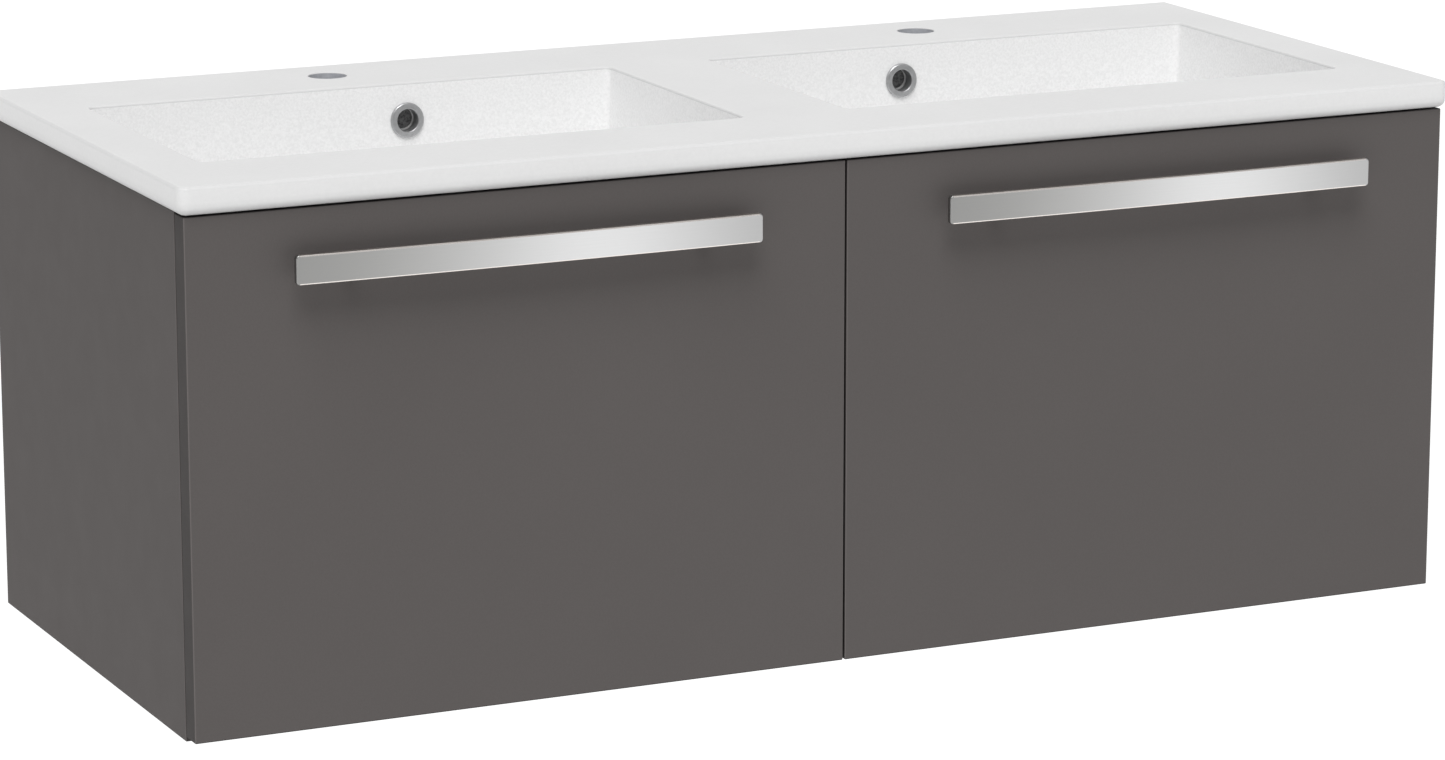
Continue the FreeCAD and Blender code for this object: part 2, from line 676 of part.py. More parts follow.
def make_wall_plate(label, side):
    """The plate screwed to the wall: a flat back, a ledge and the lip that the hook drops behind."""
    x = across(side, "plate_in - plate_near", "plate_in + plate_far")
    ledge_z = "slab_under - ledge_low"
    flat = box(f"plate_flat_{label}", x, ("-plate_thick", "0"),
               ("slab_under - plate_low", ledge_z + " + plate_thick"))
    ledge = box(f"plate_ledge_{label}", x, ("-ledge_deep", "0"), (ledge_z, ledge_z + " + plate_thick"))
    lip = box(f"plate_lip_{label}", x, ("-ledge_deep", "-ledge_deep + plate_thick"),
              (ledge_z, "slab_under - hook_top"))
    bores = [cylinder(f"plate_hole_{label}_{tag}", (0, 1, 0), "plate_hole",
                      (f"{side} * plate_in", "-3 * plate_thick", f"{sign} * plate_pitch / 2"),
                      "5 * plate_thick")
             for tag, sign in (("low", -1), ("high", 1))]
    plate = fuse(f"plate_{label}", [flat, ledge, lip])
    node(cut(f"wall_plate_cut_{label}", plate, bores), f"wall_plate_{label}")


# ---------------------------------------------------------------- waste and overflow

def make_flange(label, at):
    """The chrome ring in the bowl floor, its tube and the three-armed cross that guides the plug."""
    ring = revolved(f"waste_ring_{label}", [
        ("tube_bore", "-tube_long"), ("tube_half", "-tube_long"), ("tube_half", "0"),
        ("flange_half - 1", "0"), ("flange_half", "1"), ("flange_half - 3", "2.6"),
        ("tube_bore + 2", "3"), ("tube_bore", "1.5")], at)
    cross_low = at[2] + " - hub_low"
    arms = []
    for i in range(3):
        arm = doc.addObject("Part::Box", f"spoke_{label}_{i}")
        for prop, size in (("Length", "spoke_long"), ("Width", "spoke_wide"), ("Height", "hub_high")):
            bind(arm, prop, size)
        turn = Rotation(Vector(0, 0, 1), 120 * i + 90)
        corner = turn.multVec(Vector(value("spoke_in"), -value("spoke_wide") / 2, 0))
        arm.Placement = Placement(Vector(), turn)
        place(arm, (f"{at[0]} + {corner.x:.4f}", f"{at[1]} + {corner.y:.4f}", cross_low))
        arms.append(arm)
    hub = cylinder(f"spoke_hub_{label}", (0, 0, 1), "hub_half", (at[0], at[1], cross_low), "hub_high")
    bore = cylinder(f"spoke_bore_{label}", (0, 0, 1), "hub_bore", (at[0], at[1], cross_low + " - 1"),
                    "hub_high + 2")
    cross = cut(f"spider_{label}", fuse(f"spider_solid_{label}", [hub] + arms), [bore])
    node(fuse(f"waste_flange_{label}", [ring, cross]), f"waste_flange_{label}")


def make_waste(label, side, gaskets):
    """The pieces round one bowl's drain hole, their heights from the bowl floor."""
    at = (f"{side} * bowl_mid", WASTE_Y, BOWL_FLOOR)
    make_flange(label, at)
    bore = "tube_half + 0.4"
    top = "-shell - gasket_thick"
    gaskets.append(revolved(f"gasket_{label}", [
        (bore, top), ("gasket_half", top), ("gasket_half", "-shell"), (bore, "-shell")], at))
    low = f"{top} - body_tall"
    collector = revolved(f"collector_{label}", [
        (bore, top), ("body_half", top), ("body_half", low + " + taper"), ("outlet_half", low),
        ("outlet_half", low + " - outlet_long"), ("outlet_bore", low + " - outlet_long"),
        ("outlet_bore", low + " + 2"), (bore, low + " + taper")], at)
    inlet = cylinder(f"inlet_{label}", tuple(hose_way(side)), "inlet_half", (at[0], at[1], INLET_Z),
                     "inlet_reach")
    core = cylinder(f"inlet_core_{label}", (0, 0, 1), "body_half - 5",
                    (at[0], at[1], INLET_Z + " - inlet_half - 3"), "2 * inlet_half + 6")
    spigot = cut(f"inlet_tube_{label}", inlet, [core])
    node(fuse(f"waste_body_{label}", [collector, spigot]), f"waste_body_{label}")


def make_overflow(label, side):
    """The chrome ring in the bowl's rear wall and the elbow behind it."""
    centre_x = f"{side} * overflow_mid"
    node(revolved(f"ring_{label}", [
        ("10", "-9"), ("overflow_hole - 1.1", "-9"), ("overflow_hole - 1.1", "0"), ("16", "0"),
        ("16", "1.2"), ("15", "2.6"), ("12.4", "3.4"), ("11", "2.8"), ("10", "1")],
        (centre_x, "-(bowl_back + overflow_lean)", OVERFLOW_Z), 90 - value("bowl_draft")),
        f"overflow_ring_{label}")

    seat = (centre_x, ELBOW_SEAT, OVERFLOW_Z)
    bend = (centre_x, "-hose_back", OVERFLOW_Z)
    cap = cylinder(f"elbow_cap_{label}", (0, 1, 0), "elbow_cap", seat, "elbow_cap_thick")
    throat = cylinder(f"elbow_throat_{label}", (0, 1, 0), "elbow_half", seat,
                      f"-hose_back - ({ELBOW_SEAT})")
    dome = doc.addObject("Part::Sphere", f"elbow_dome_{label}")
    bind(dome, "Radius", "elbow_half")
    place(dome, bend)
    leg = cylinder(f"elbow_leg_{label}", (0, 0, -1), "elbow_half", bend, "elbow_leg")
    node(fuse(f"elbow_{label}", [cap, throat, dome, leg]), f"overflow_elbow_{label}")


def hose_way(side):
    """The level way from a drain's axis towards its hose's upright run."""
    return Vector(side * value("overflow_mid - bowl_mid"), value(f"-hose_back - ({WASTE_Y})"),
                  0).normalize()


def make_hose(label, side):
    """A round hose down from the elbow and across to the collector, its two runs joined by an arc."""
    low = value(INLET_Z)
    start = Vector(side * value("overflow_mid"), -value("hose_back"), value(OVERFLOW_Z + " - elbow_leg"))
    corner = Vector(start.x, start.y, low)
    drain = Vector(side * value("bowl_mid"), value(WASTE_Y), low)
    end = drain + hose_way(side) * value("inlet_reach")
    into = (corner - start).normalize()
    away = (end - corner).normalize()
    half_turn = into.getAngle(away) / 2
    tangent = 0.45 * min((corner - start).Length, (end - corner).Length)
    radius = tangent / math.tan(half_turn)
    first, last = corner - into * tangent, corner + away * tangent
    to_centre = (away - into).normalize()
    middle = corner + to_centre * (radius / math.cos(half_turn) - radius)
    path = Part.Wire([Part.LineSegment(start, first).toShape(),
                      Part.Arc(first, middle, last).toShape(),
                      Part.LineSegment(last, end).toShape()])
    thick = value("hose_half")
    section = Part.Wire([Part.Circle(start, into, thick).toShape()])
    obj = doc.addObject("Part::Feature", f"hose_{label}")
    obj.Shape = path.makePipeShell([section], True, False)
    obj.Placement = Placement()
    share = obj.Shape.Volume / (math.pi * thick ** 2 * path.Length)
    print(f"hose_{label}: bend radius {radius:.1f}, length {path.Length:.1f},"
          f" volume over section times length {share:.4f}")
    node(obj, f"overflow_hose_{label}")


def make_plug(label, side):
    at = (f"{side} * bowl_mid", WASTE_Y, BOWL_FLOOR)
    node(revolved(f"plug_disc_{label}", [
        ("0", "-34"), ("hub_bore - 0.3", "-34"), ("hub_bore - 0.3", "3.3"), ("28", "3.3"),
        ("31", "4.6"), ("31", "6"), ("29", "8"), ("16", "9.2"), ("0", "9.6")], at), f"plug_{label}")


# ---------------------------------------------------------------- runners

# The two walls that a drawer's runners are screwed to, and the way into the drawer's space.
WALLS = (("near", "board / 2", 1), ("far", INNER, -1))


def runner_pair(prefix, side, strips, y):
    """One member of a drawer's two runners: strips as (from, to, low, high) off the wall."""
    members = []
    for wall, face, inward in WALLS:
        pieces = []
        for i, (start, stop, low, high) in enumerate(strips):
            ends = (f"{face} + {start}", f"{face} + {stop}")
            if inward < 0:
                ends = (f"{face} - ({stop})", f"{face} - ({start})")
            pieces.append(box(f"{prefix}_{wall}_{i}", across(side, *ends), y,
                              (f"{RUNNER_Z} + {low}", f"{RUNNER_Z} + {high}")))
        members.append(fuse(f"{prefix}_{wall}", pieces))
    return members


def channel(web, flanges, half):
    """A channel's web and its two flanges, each given as (from, to), half its height up and down."""
    lip = f"{half} - steel"
    return [(*web, f"-({half})", half),
            (*flanges, f"-({half})", f"-({lip})"),
            (*flanges, lip, half)]


def runner_screw(label, side, wall, face, inward, place_name, screws):
    """One screw into the wall, its pilot hole, and the hole for it in the runner."""
    name = f"runner_screw_{label}_{wall}_{place_name}"
    y = f"-runner_screw_{place_name}"
    into = (-side * inward, 0, 0)
    web = (f"{side} * ({face} + {inward} * steel)", y, RUNNER_Z)
    head = cylinder(name + "_head", (side * inward, 0, 0), "2 * runner_screw_half - 0.2", web, "1.4")
    shank = cylinder(name + "_shank", into, "runner_screw_half", web, "steel + runner_screw_grip")
    screws.append(fuse(name, [head, shank]))
    panel = "centre_partition" if wall == "near" else f"side_panel_{label}"
    drill(panel, cylinder(name + "_pilot", into, "runner_screw_half + play",
                          (f"{side} * ({face})", y, RUNNER_Z), "runner_screw_grip + 0.4"))
    return cylinder(name + "_hole", into, "runner_screw_half + 2 * play",
                    (f"{side} * ({face} + {inward} * 3)", y, RUNNER_Z), "4")


def make_runners(label, side, screws):
    full = ("-runner_front", "-(runner_front - runner_long)")
    short = ("-(runner_front - mid_short)", "-(runner_front - runner_long + mid_short)")
    outer = channel(("0", "steel"), ("0", "outer_lip"), "runner_high / 2")
    middle = channel(("middle_web", "middle_web + steel"), ("middle_near", "middle_far"), "middle_half")
    inner = channel(("runner_wide - steel", "runner_wide"), ("slider_near", "runner_wide"), "slider_half")
    fixed = []
    for (wall, face, inward), member in zip(WALLS, runner_pair(f"runner_out_{label}", side, outer, full)):
        bores = [runner_screw(label, side, wall, face, inward, place_name, screws)
                 for place_name in ("front", "mid", "rear")]
        fixed.append(cut(f"runner_out_cut_{label}_{wall}", member, bores))
    node(group(f"runner_fixed_set_{label}", fixed), f"runner_fixed_{label}")
    node(group(f"runner_mid_set_{label}", runner_pair(f"runner_mid_{label}", side, middle, short)),
         f"runner_mid_{label}")
    node(group(f"runner_slider_set_{label}", runner_pair(f"runner_in_{label}", side, inner, full)),
         f"runner_slider_{label}")


# ---------------------------------------------------------------- drawers

def make_front(label, side):
    name = f"drawer_front_{label}"
    plain = box(name + "_board", across(side, "front_split / 2", "wide / 2"), ("-deep", FRONT_BACK),
                (BOTTOM + " + front_low", "slab_under - front_top"))
    smooth = rounded(name + "_rounded", plain, [("front_round", lambda edge: True)])
    screws, bores = [], []
    for tag, sign in (("left", -1), ("right", 1)):
        post_x = f"{side} * ({FRONT_MID}) + {sign} * post_pitch / 2"
        seat = (post_x, FRONT_BACK, HANDLE_Z)
        bores.append(cylinder(f"front_bore_{label}_{tag}", (0, 1, 0), "handle_bolt + 0.5",
                              (post_x, "-(deep + 1)", HANDLE_Z), "front_thick + 2"))
        head = cylinder(f"handle_head_{label}_{tag}", (0, 1, 0), "2 * handle_bolt + 0.2", seat, "2.6")
        shank = cylinder(f"handle_shank_{label}_{tag}", (0, -1, 0), "handle_bolt", seat,
                         "front_thick + 12")
        screws.append(fuse(f"handle_screw_{label}_{tag}", [head, shank]))
    node(cut(name + "_drilled", smooth, bores), name)
    node(group(f"handle_screw_set_{label}", screws), f"handle_screws_{label}")


def handle_bar(label, middle):
    """The flat bar, cut between two upright cylinders so that it bows outward a little."""
    low, high = f"{HANDLE_Z} - handle_high / 2", f"{HANDLE_Z} + handle_high / 2"
    face = "-(deep + handle_reach)"
    blank = box(f"handle_blank_{label}",
                (f"{middle} - handle_long / 2", f"{middle} + handle_long / 2"),
                (f"{face} - 1", f"{face} + handle_thick + handle_bow + 1"), (low, high))
    bend = "((handle_long * handle_long / 4 + handle_bow * handle_bow) / (2 * handle_bow))"
    axis_y = f"{face} + {bend}"
    outer = cylinder(f"handle_outer_{label}", (0, 0, 1), bend, (middle, axis_y, low), "handle_high")
    inner = cylinder(f"handle_inner_{label}", (0, 0, 1), f"{bend} - handle_thick",
                     (middle, axis_y, f"{low} - 1"), "handle_high + 2")
    bowed = doc.addObject("Part::MultiCommon", f"handle_bowed_{label}")
    bowed.Shapes = [blank, outer]
    bar = cut(f"handle_bar_{label}", bowed, [inner])

    def end_corner(edge):
        return edge.Length < value("handle_thick + handle_bow") and not upright(edge)

    def long_edge(edge):
        return edge.Length > value("handle_long / 2")

    return rounded(f"handle_rounded_{label}", bar,
                   [("handle_end", end_corner), ("handle_edge", long_edge)])


def make_handle(label, side):
    middle = f"{side} * ({FRONT_MID})"
    bar = handle_bar(label, middle)
    posts, bores = [], []
    for tag, sign in (("left", -1), ("right", 1)):
        post_x = f"{middle} + {sign} * post_pitch / 2"
        posts.append(cylinder(f"handle_post_{label}_{tag}", (0, -1, 0), "post_half",
                              (post_x, "-deep", HANDLE_Z), "handle_reach - handle_bow - 2"))
        bores.append(cylinder(f"handle_bore_{label}_{tag}", (0, -1, 0), "handle_bolt + play",
                              (post_x, "-deep + 1", HANDLE_Z), "14"))
    solid = fuse(f"handle_solid_{label}", [bar] + posts)
    node(cut(f"handle_done_{label}", solid, bores), f"drawer_handle_{label}")


BOX_WALLS = (("inner", BOX_NEAR, BOX_NEAR + " + box_side"),
             ("outer", BOX_FAR + " - box_side", BOX_FAR))
TRAP_LOW = "bowl_mid - trap_half"
TRAP_HIGH = "bowl_mid + trap_half"


def make_drawer_box(label, side):
    """The box behind the front, cut out at the back so that it clears the trap under the bowl."""
    box_y, floor_z = (FRONT_BACK, BOX_BACK), (FLOOR_LOW, FLOOR_TOP)
    inside_near, inside_far = BOX_WALLS[0][2], BOX_WALLS[1][1]
    floor_x = across(side, inside_near + " - groove", inside_far + " + groove")
    for wall, near, far in BOX_WALLS:
        board = box(f"box_{wall}_{label}", across(side, near, far), box_y, (BOX_LOW, BOX_TOP))
        groove = box(f"box_{wall}_groove_{label}", floor_x,
                     (FRONT_BACK + " - 1", BOX_BACK + " + 1"), floor_z)
        node(cut(f"box_{wall}_cut_{label}", board, [groove]), f"drawer_side_{wall}_{label}")

    floor_board = box(f"box_floor_{label}", floor_x, box_y, floor_z)
    notch = box(f"box_notch_{label}", across(side, TRAP_LOW, TRAP_HIGH),
                ("-trap_front", BOX_BACK + " + 1"), (FLOOR_LOW + " - 1", FLOOR_TOP + " + 1"))
    node(cut(f"box_floor_cut_{label}", floor_board, [notch]), f"drawer_bottom_{label}")

    upper_z = (FLOOR_TOP, BOX_TOP)
    back_y = (BOX_BACK + " - box_side", BOX_BACK)
    outer_low, outer_high = f"{TRAP_LOW} - trap_board", f"{TRAP_HIGH} + trap_board"
    backs = [box(f"box_back_near_{label}", across(side, inside_near, outer_low), back_y, upper_z),
             box(f"box_back_far_{label}", across(side, outer_high, inside_far), back_y, upper_z)]
    node(group(f"box_backs_{label}", backs), f"drawer_back_{label}")

    cheek_y = ("-trap_front", BOX_BACK)
    surround = [
        box(f"trap_near_{label}", across(side, outer_low, TRAP_LOW), cheek_y, upper_z),
        box(f"trap_far_{label}", across(side, TRAP_HIGH, outer_high), cheek_y, upper_z),
        box(f"trap_face_{label}", across(side, outer_low, outer_high),
            ("-(trap_front + trap_board)", "-trap_front"), upper_z)]
    node(group(f"trap_boards_{label}", surround), f"siphon_surround_{label}")


def make_front_brackets(label, side):
    """Two corner brackets that hold the front to the box's sides."""
    z = (f"{FLOOR_TOP} + bracket_low", f"{FLOOR_TOP} + bracket_low + bracket_tall")
    brackets = []
    for tag, wall, sign in (("near", BOX_WALLS[0][2], "+"), ("far", BOX_WALLS[1][1], "-")):
        legs = []
        for leg, reach, deep in (("side", "bracket_thick", "bracket_reach"),
                                 ("front", "bracket_reach", "bracket_thick")):
            ends = (wall, f"{wall} + {reach}") if sign == "+" else (f"{wall} - {reach}", wall)
            legs.append(box(f"bracket_{tag}_{leg}_{label}", across(side, *ends),
                            (FRONT_BACK, f"{FRONT_BACK} + {deep}"), z))
        brackets.append(fuse(f"bracket_{tag}_{label}", legs))
    node(group(f"brackets_{label}", brackets), f"front_brackets_{label}")


def make_bumpers(label, side):
    """Soft pads on the back of a front, one at each corner."""
    bumpers = []
    for tag, x in (("near", "board / 2 - 3"), ("far", "wide / 2 - board / 2")):
        for level, z in (("low", BOTTOM + " + bumper_low"), ("high", "slab_under - bumper_high")):
            bumpers.append(cylinder(f"bumper_{tag}_{level}_{label}", (0, 1, 0), "bumper_half",
                                    (f"{side} * ({x})", FRONT_BACK, z), "front_gap - 0.4"))
    node(group(f"bumpers_{label}", bumpers), f"front_bumpers_{label}")


# ---------------------------------------------------------------- the whole model

def build():
    case_screws, gaskets, runner_screws = [], [], []
    make_basin()
    place_fasteners()
    for label, side in SIDES:
        make_case(label, side, case_screws)
        make_hook(label, side)
        make_wall_plate(label, side)
        make_runners(label, side, runner_screws)
    make_carcass()
    node(group("hanger_screw_set", case_screws), "hanger_screws")
    node(group("runner_screw_set", runner_screws), "runner_screws")
    for label, side in SIDES:
        make_waste(label, side, gaskets)
        make_overflow(label, side)
        make_hose(label, side)
        make_plug(label, side)
        make_front(label, side)
        make_handle(label, side)
        make_drawer_box(label, side)
        make_front_brackets(label, side)
        make_bumpers(label, side)
    node(group("gasket_set", gaskets), "waste_gaskets")


def check_and_write():
    doc.recompute()
    broken = [obj.Name for obj in doc.Objects
              if "Invalid" in obj.State or "Error" in obj.State]
    broken += [obj.Label for obj in nodes if obj.Shape.isNull() or not obj.Shape.isValid()]
    if broken:
        raise ValueError(f"failed objects: {broken}")
    os.makedirs("parts", exist_ok=True)
    for obj in nodes:
        obj.Shape.exportStep(f"parts/{obj.Label}.step")
    print(len(nodes), "nodes")


build()
check_and_write()
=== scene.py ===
import json
import math

import bmesh
import bpy
from mathutils import Matrix, Vector


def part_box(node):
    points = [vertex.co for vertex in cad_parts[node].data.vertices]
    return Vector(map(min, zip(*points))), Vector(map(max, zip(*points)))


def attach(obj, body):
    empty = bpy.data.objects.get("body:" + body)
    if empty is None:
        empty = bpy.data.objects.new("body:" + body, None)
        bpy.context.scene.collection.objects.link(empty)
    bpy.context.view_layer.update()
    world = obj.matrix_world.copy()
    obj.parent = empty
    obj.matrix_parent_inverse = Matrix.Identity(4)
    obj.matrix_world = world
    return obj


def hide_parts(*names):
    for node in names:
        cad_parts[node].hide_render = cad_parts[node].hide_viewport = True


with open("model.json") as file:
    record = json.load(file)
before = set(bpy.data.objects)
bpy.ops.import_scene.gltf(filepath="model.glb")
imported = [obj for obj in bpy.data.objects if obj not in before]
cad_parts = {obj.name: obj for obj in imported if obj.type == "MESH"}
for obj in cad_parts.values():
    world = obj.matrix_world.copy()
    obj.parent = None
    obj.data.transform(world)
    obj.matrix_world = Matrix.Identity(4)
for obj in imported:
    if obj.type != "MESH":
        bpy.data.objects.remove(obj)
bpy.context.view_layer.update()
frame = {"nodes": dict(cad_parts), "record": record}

MM = 0.001
SIDES = (("left", -1), ("right", 1))

record = frame["record"]
body_of = {node: body for body, nodes in record["behaviour"]["bodies"].items() for node in nodes}
slot_of = {part["node"]: part["material_slot"] for part in record["subparts"]}

# Driving places, read from the frame.
slab_low, slab_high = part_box("basin_top")
SLAB_HALF = slab_high.x
SLAB_FRONT = slab_low.y
SLAB_TOP = slab_high.z
SLAB_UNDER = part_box("side_panel_left")[1].z
FRONT_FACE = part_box("drawer_front_right")[0].y

# The basin, as the frame's slab is shaped. The wall is at Y = 0.
SLAB_CORNER = 9 * MM
TOP_ROUND = 3 * MM
LOW_ROUND = 7 * MM
BOWL_MID = Vector((300 * MM, -263 * MM))
BOWL_HALF = Vector((250 * MM, 145 * MM))
BOWL_CORNER = 6 * MM
BOWL_FOOT = 5 * MM
BOWL_FALL = 125 * MM
BOWL_FLOOR = SLAB_TOP - BOWL_FALL
RIM_ROUND = 2 * MM
RIM_STEPS = 5
DRAFT_DEGREES = 2.5
DRAFT = math.tan(math.radians(DRAFT_DEGREES))
SHELL = 11 * MM
TAP_BACK = 52 * MM
TAP_RADIUS = 17.5 * MM
TAP_ROUND = 1 * MM
DRAIN_RADIUS = 23 * MM

# The overflow's way through the bowl's wall, and the hose behind it.
OVERFLOW_DROP = 34 * MM
OVERFLOW = Vector((250 * MM, BOWL_MID.y + BOWL_HALF.y - DRAFT * OVERFLOW_DROP,
                   SLAB_TOP - OVERFLOW_DROP))
OVERFLOW_HOLE = 12.5 * MM
OVERFLOW_POCKET = 17.5 * MM
HOLE_FRONT = 131 * MM
SEAT_BACK = 2 * MM - SHELL - BOWL_MID.y - BOWL_HALF.y
POCKET_BACK = 85 * MM
HOSE_BACK = 96 * MM
LEG_LONG = 26 * MM
INLET_Z = BOWL_FLOOR - SHELL - 33 * MM
INLET_LONG = 48

# The bar handles.
HANDLE_THICK = 6 * MM
HANDLE_BOW = 2.3 * MM
HANDLE_CORNER = 3 * MM
HANDLE_EDGE = 1.2 * MM
POST_PITCH = 320 * MM
POST_RADIUS = 5 * MM
POST_SUNK = 1 * MM

# The studio.
FLOOR_REACH = 18.0
FLOOR_LEVEL = -0.95
FLOOR_CELLS = 6
FLOOR_GLOW = 0.62
SKY_STRENGTH = 0.46
KEY_STRENGTH = 2.15
KEY_DEGREES = 34
KEY_WAY = Vector((0.22, 0.43, -0.875))
CAMERA_PLACE = (-2.002, -4.511, 0.923)
CAMERA_DOWN = 12.93
CAMERA_TURN = -25.20
CAMERA_LENS = 132.3


# ---------------------------------------------------------------- meshes

def arc(steps, start, end):
    """Angles in radians from start to end, in degrees, both ends included."""
    return [math.radians(start + (end - start) * i / steps) for i in range(steps + 1)]


def ring_of(bm, points):
    return [bm.verts.new(point) for point in points]


def join(bm, first, second, closed=True):
    """Faces between two rows of the same number of corners, or from a row to a single corner."""
    count = max(len(first), len(second))
    for i in range(count if closed else count - 1):
        j = (i + 1) % count
        if len(first) == 1:
            corners = [first[0], second[j], second[i]]
        elif len(second) == 1:
            corners = [first[i], first[j], second[0]]
        else:
            corners = [first[i], first[j], second[j], second[i]]
        bm.faces.new(corners)


def loft(bm, rows, closed=True):
    rings = [ring_of(bm, row) for row in rows]
    for first, second in zip(rings, rings[1:]):
        join(bm, first, second, closed)
    return rings


def fill(bm, loops, normal):
    """Flat faces inside the first loop and outside the others."""
    edges = []
    for loop in loops:
        for first, second in zip(loop, loop[1:] + loop[:1]):
            edge = bm.edges.get((first, second)) or bm.edges.new((first, second))
            edges.append(edge)
    filled = bmesh.ops.triangle_fill(bm, use_beauty=True, use_dissolve=False, edges=edges,
                                     normal=normal)
    return [item for item in filled["geom"] if isinstance(item, bmesh.types.BMFace)]


def circle(x, y, radius, z, steps):
    return [(x + radius * math.cos(a), y + radius * math.sin(a), z)
            for a in arc(steps, 0, 360)[:-1]]


def rounded_rectangle(middle, half, radius, z, steps=10):
    """A rectangle with round corners, anticlockwise seen from above."""
    points = []
    for right, back, start in ((1, -1, -90), (1, 1, 0), (-1, 1, 90), (-1, -1, 180)):
        x = middle[0] + right * (half[0] - radius)
        y = middle[1] + back * (half[1] - radius)
        points += [(x + radius * math.cos(a), y + radius * math.sin(a), z)
                   for a in arc(steps, start, start + 90)]
    return points


def softened(points, radii, steps=4, closed=True):
    """The outline with its corners rounded: radii gives each corner's reach along its two sides."""
    result = []
    count = len(points)
    for i, (point, reach) in enumerate(zip(points, radii)):
        point = Vector(point)
        if not reach or (not closed and i in (0, count - 1)):
            result.append(tuple(point))
            continue
        before = Vector(points[i - 1]) - point
        after = Vector(points[(i + 1) % count]) - point
        start = point + before.normalized() * min(reach, before.length * 0.49)
        end = point + after.normalized() * min(reach, after.length * 0.49)
        for step in range(steps + 1):
            t = step / steps
            result.append(tuple(start * (1 - t) ** 2 + point * (2 * t * (1 - t)) + end * t * t))
    return result


def turned(bm, profile, steps=96, closed=True, place=None):
    """A profile of (radius, height) in metres, turned about Z and then put in its place."""
    rings = []
    for radius, height in profile:
        if radius < 1e-7:
            rings.append(ring_of(bm, [(0, 0, height)]))
        else:
            rings.append(ring_of(bm, circle(0, 0, radius, height, steps)))
    for first, second in zip(rings, rings[1:] + (rings[:1] if closed else [])):
        join(bm, first, second)
    if place is not None:
        corners = [corner for ring in rings for corner in ring]
        bmesh.ops.transform(bm, matrix=place, verts=corners)
    return rings


def painted(rings, index):
    """Gives every face that touches the rings' corners the material with this index."""
    for ring in rings:
        for corner in ring:
            for face in corner.link_faces:
                face.material_index = index


def facing(place, degrees):
    """A frame at the place, turned about X: with 90 degrees its Z points into the room."""
    return Matrix.Translation(place) @ Matrix.Rotation(math.radians(degrees), 4, "X")


def swept(bm, points, radii, steps=40):
    """A round tube along points, with its own radius at each, and closed ends."""
    across = Vector((1, 0, 0))
    rings = []
    for i, (point, radius) in enumerate(zip(points, radii)):
        ahead = (points[min(i + 1, len(points) - 1)] - points[max(i - 1, 0)]).normalized()
        across = (across - ahead * across.dot(ahead)).normalized()
        other = ahead.cross(across)
        rings.append(ring_of(bm, [point + radius * (across * math.cos(a) + other * math.sin(a))
                                  for a in arc(steps, 0, 360)[:-1]]))
    for first, second in zip(rings, rings[1:]):
        join(bm, first, second)
    bm.faces.new(rings[0])
    bm.faces.new(rings[-1])


def finished(name, bm, materials, sharp=35):
    """The mesh as an object, smooth except at corners sharper than the angle."""
    bmesh.ops.remove_doubles(bm, verts=bm.verts, dist=1e-7)
    bmesh.ops.recalc_face_normals(bm, faces=bm.faces)
    mesh = bpy.data.meshes.new(name)
    bm.to_mesh(mesh)
    bm.free()
    mesh.shade_smooth()
    mesh.set_sharp_from_angle(angle=math.radians(sharp))
    for material in materials:
        mesh.materials.append(material)
    piece = bpy.data.objects.new(name, mesh)
    bpy.context.scene.collection.objects.link(piece)
    normals = piece.modifiers.new("even_normals", "WEIGHTED_NORMAL")
    normals.keep_sharp = True
    return piece


def stands_for(piece, *nodes):
    """The piece takes the nodes' place and their body."""
    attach(piece, body_of[nodes[0]])
    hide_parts(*nodes)
    return piece


def eased(node, width, materials, finish_of=None):
    """A board of the frame with its long edges eased, its bores and grooves as they are."""
    bm = bmesh.new()
    bm.from_mesh(frame["nodes"][node].data)
    bmesh.ops.remove_doubles(bm, verts=bm.verts, dist=1e-6)
    bmesh.ops.dissolve_limit(bm, angle_limit=math.radians(1), verts=bm.verts, edges=bm.edges)
    long_edges = [edge for edge in bm.edges
                  if len(edge.link_faces) == 2 and edge.calc_length() > 6 * MM
                  and edge.calc_face_angle() > math.radians(60)]
    bmesh.ops.bevel(bm, geom=long_edges, offset=width, segments=3, profile=0.5,
                    affect="EDGES", clamp_overlap=True)
    if finish_of:
        for face in bm.faces:
            face.material_index = finish_of(face.normal)
    piece = finished(node.replace("_board", "") + "_eased", bm, materials)
    return stands_for(piece, node)


# ---------------------------------------------------------------- materials

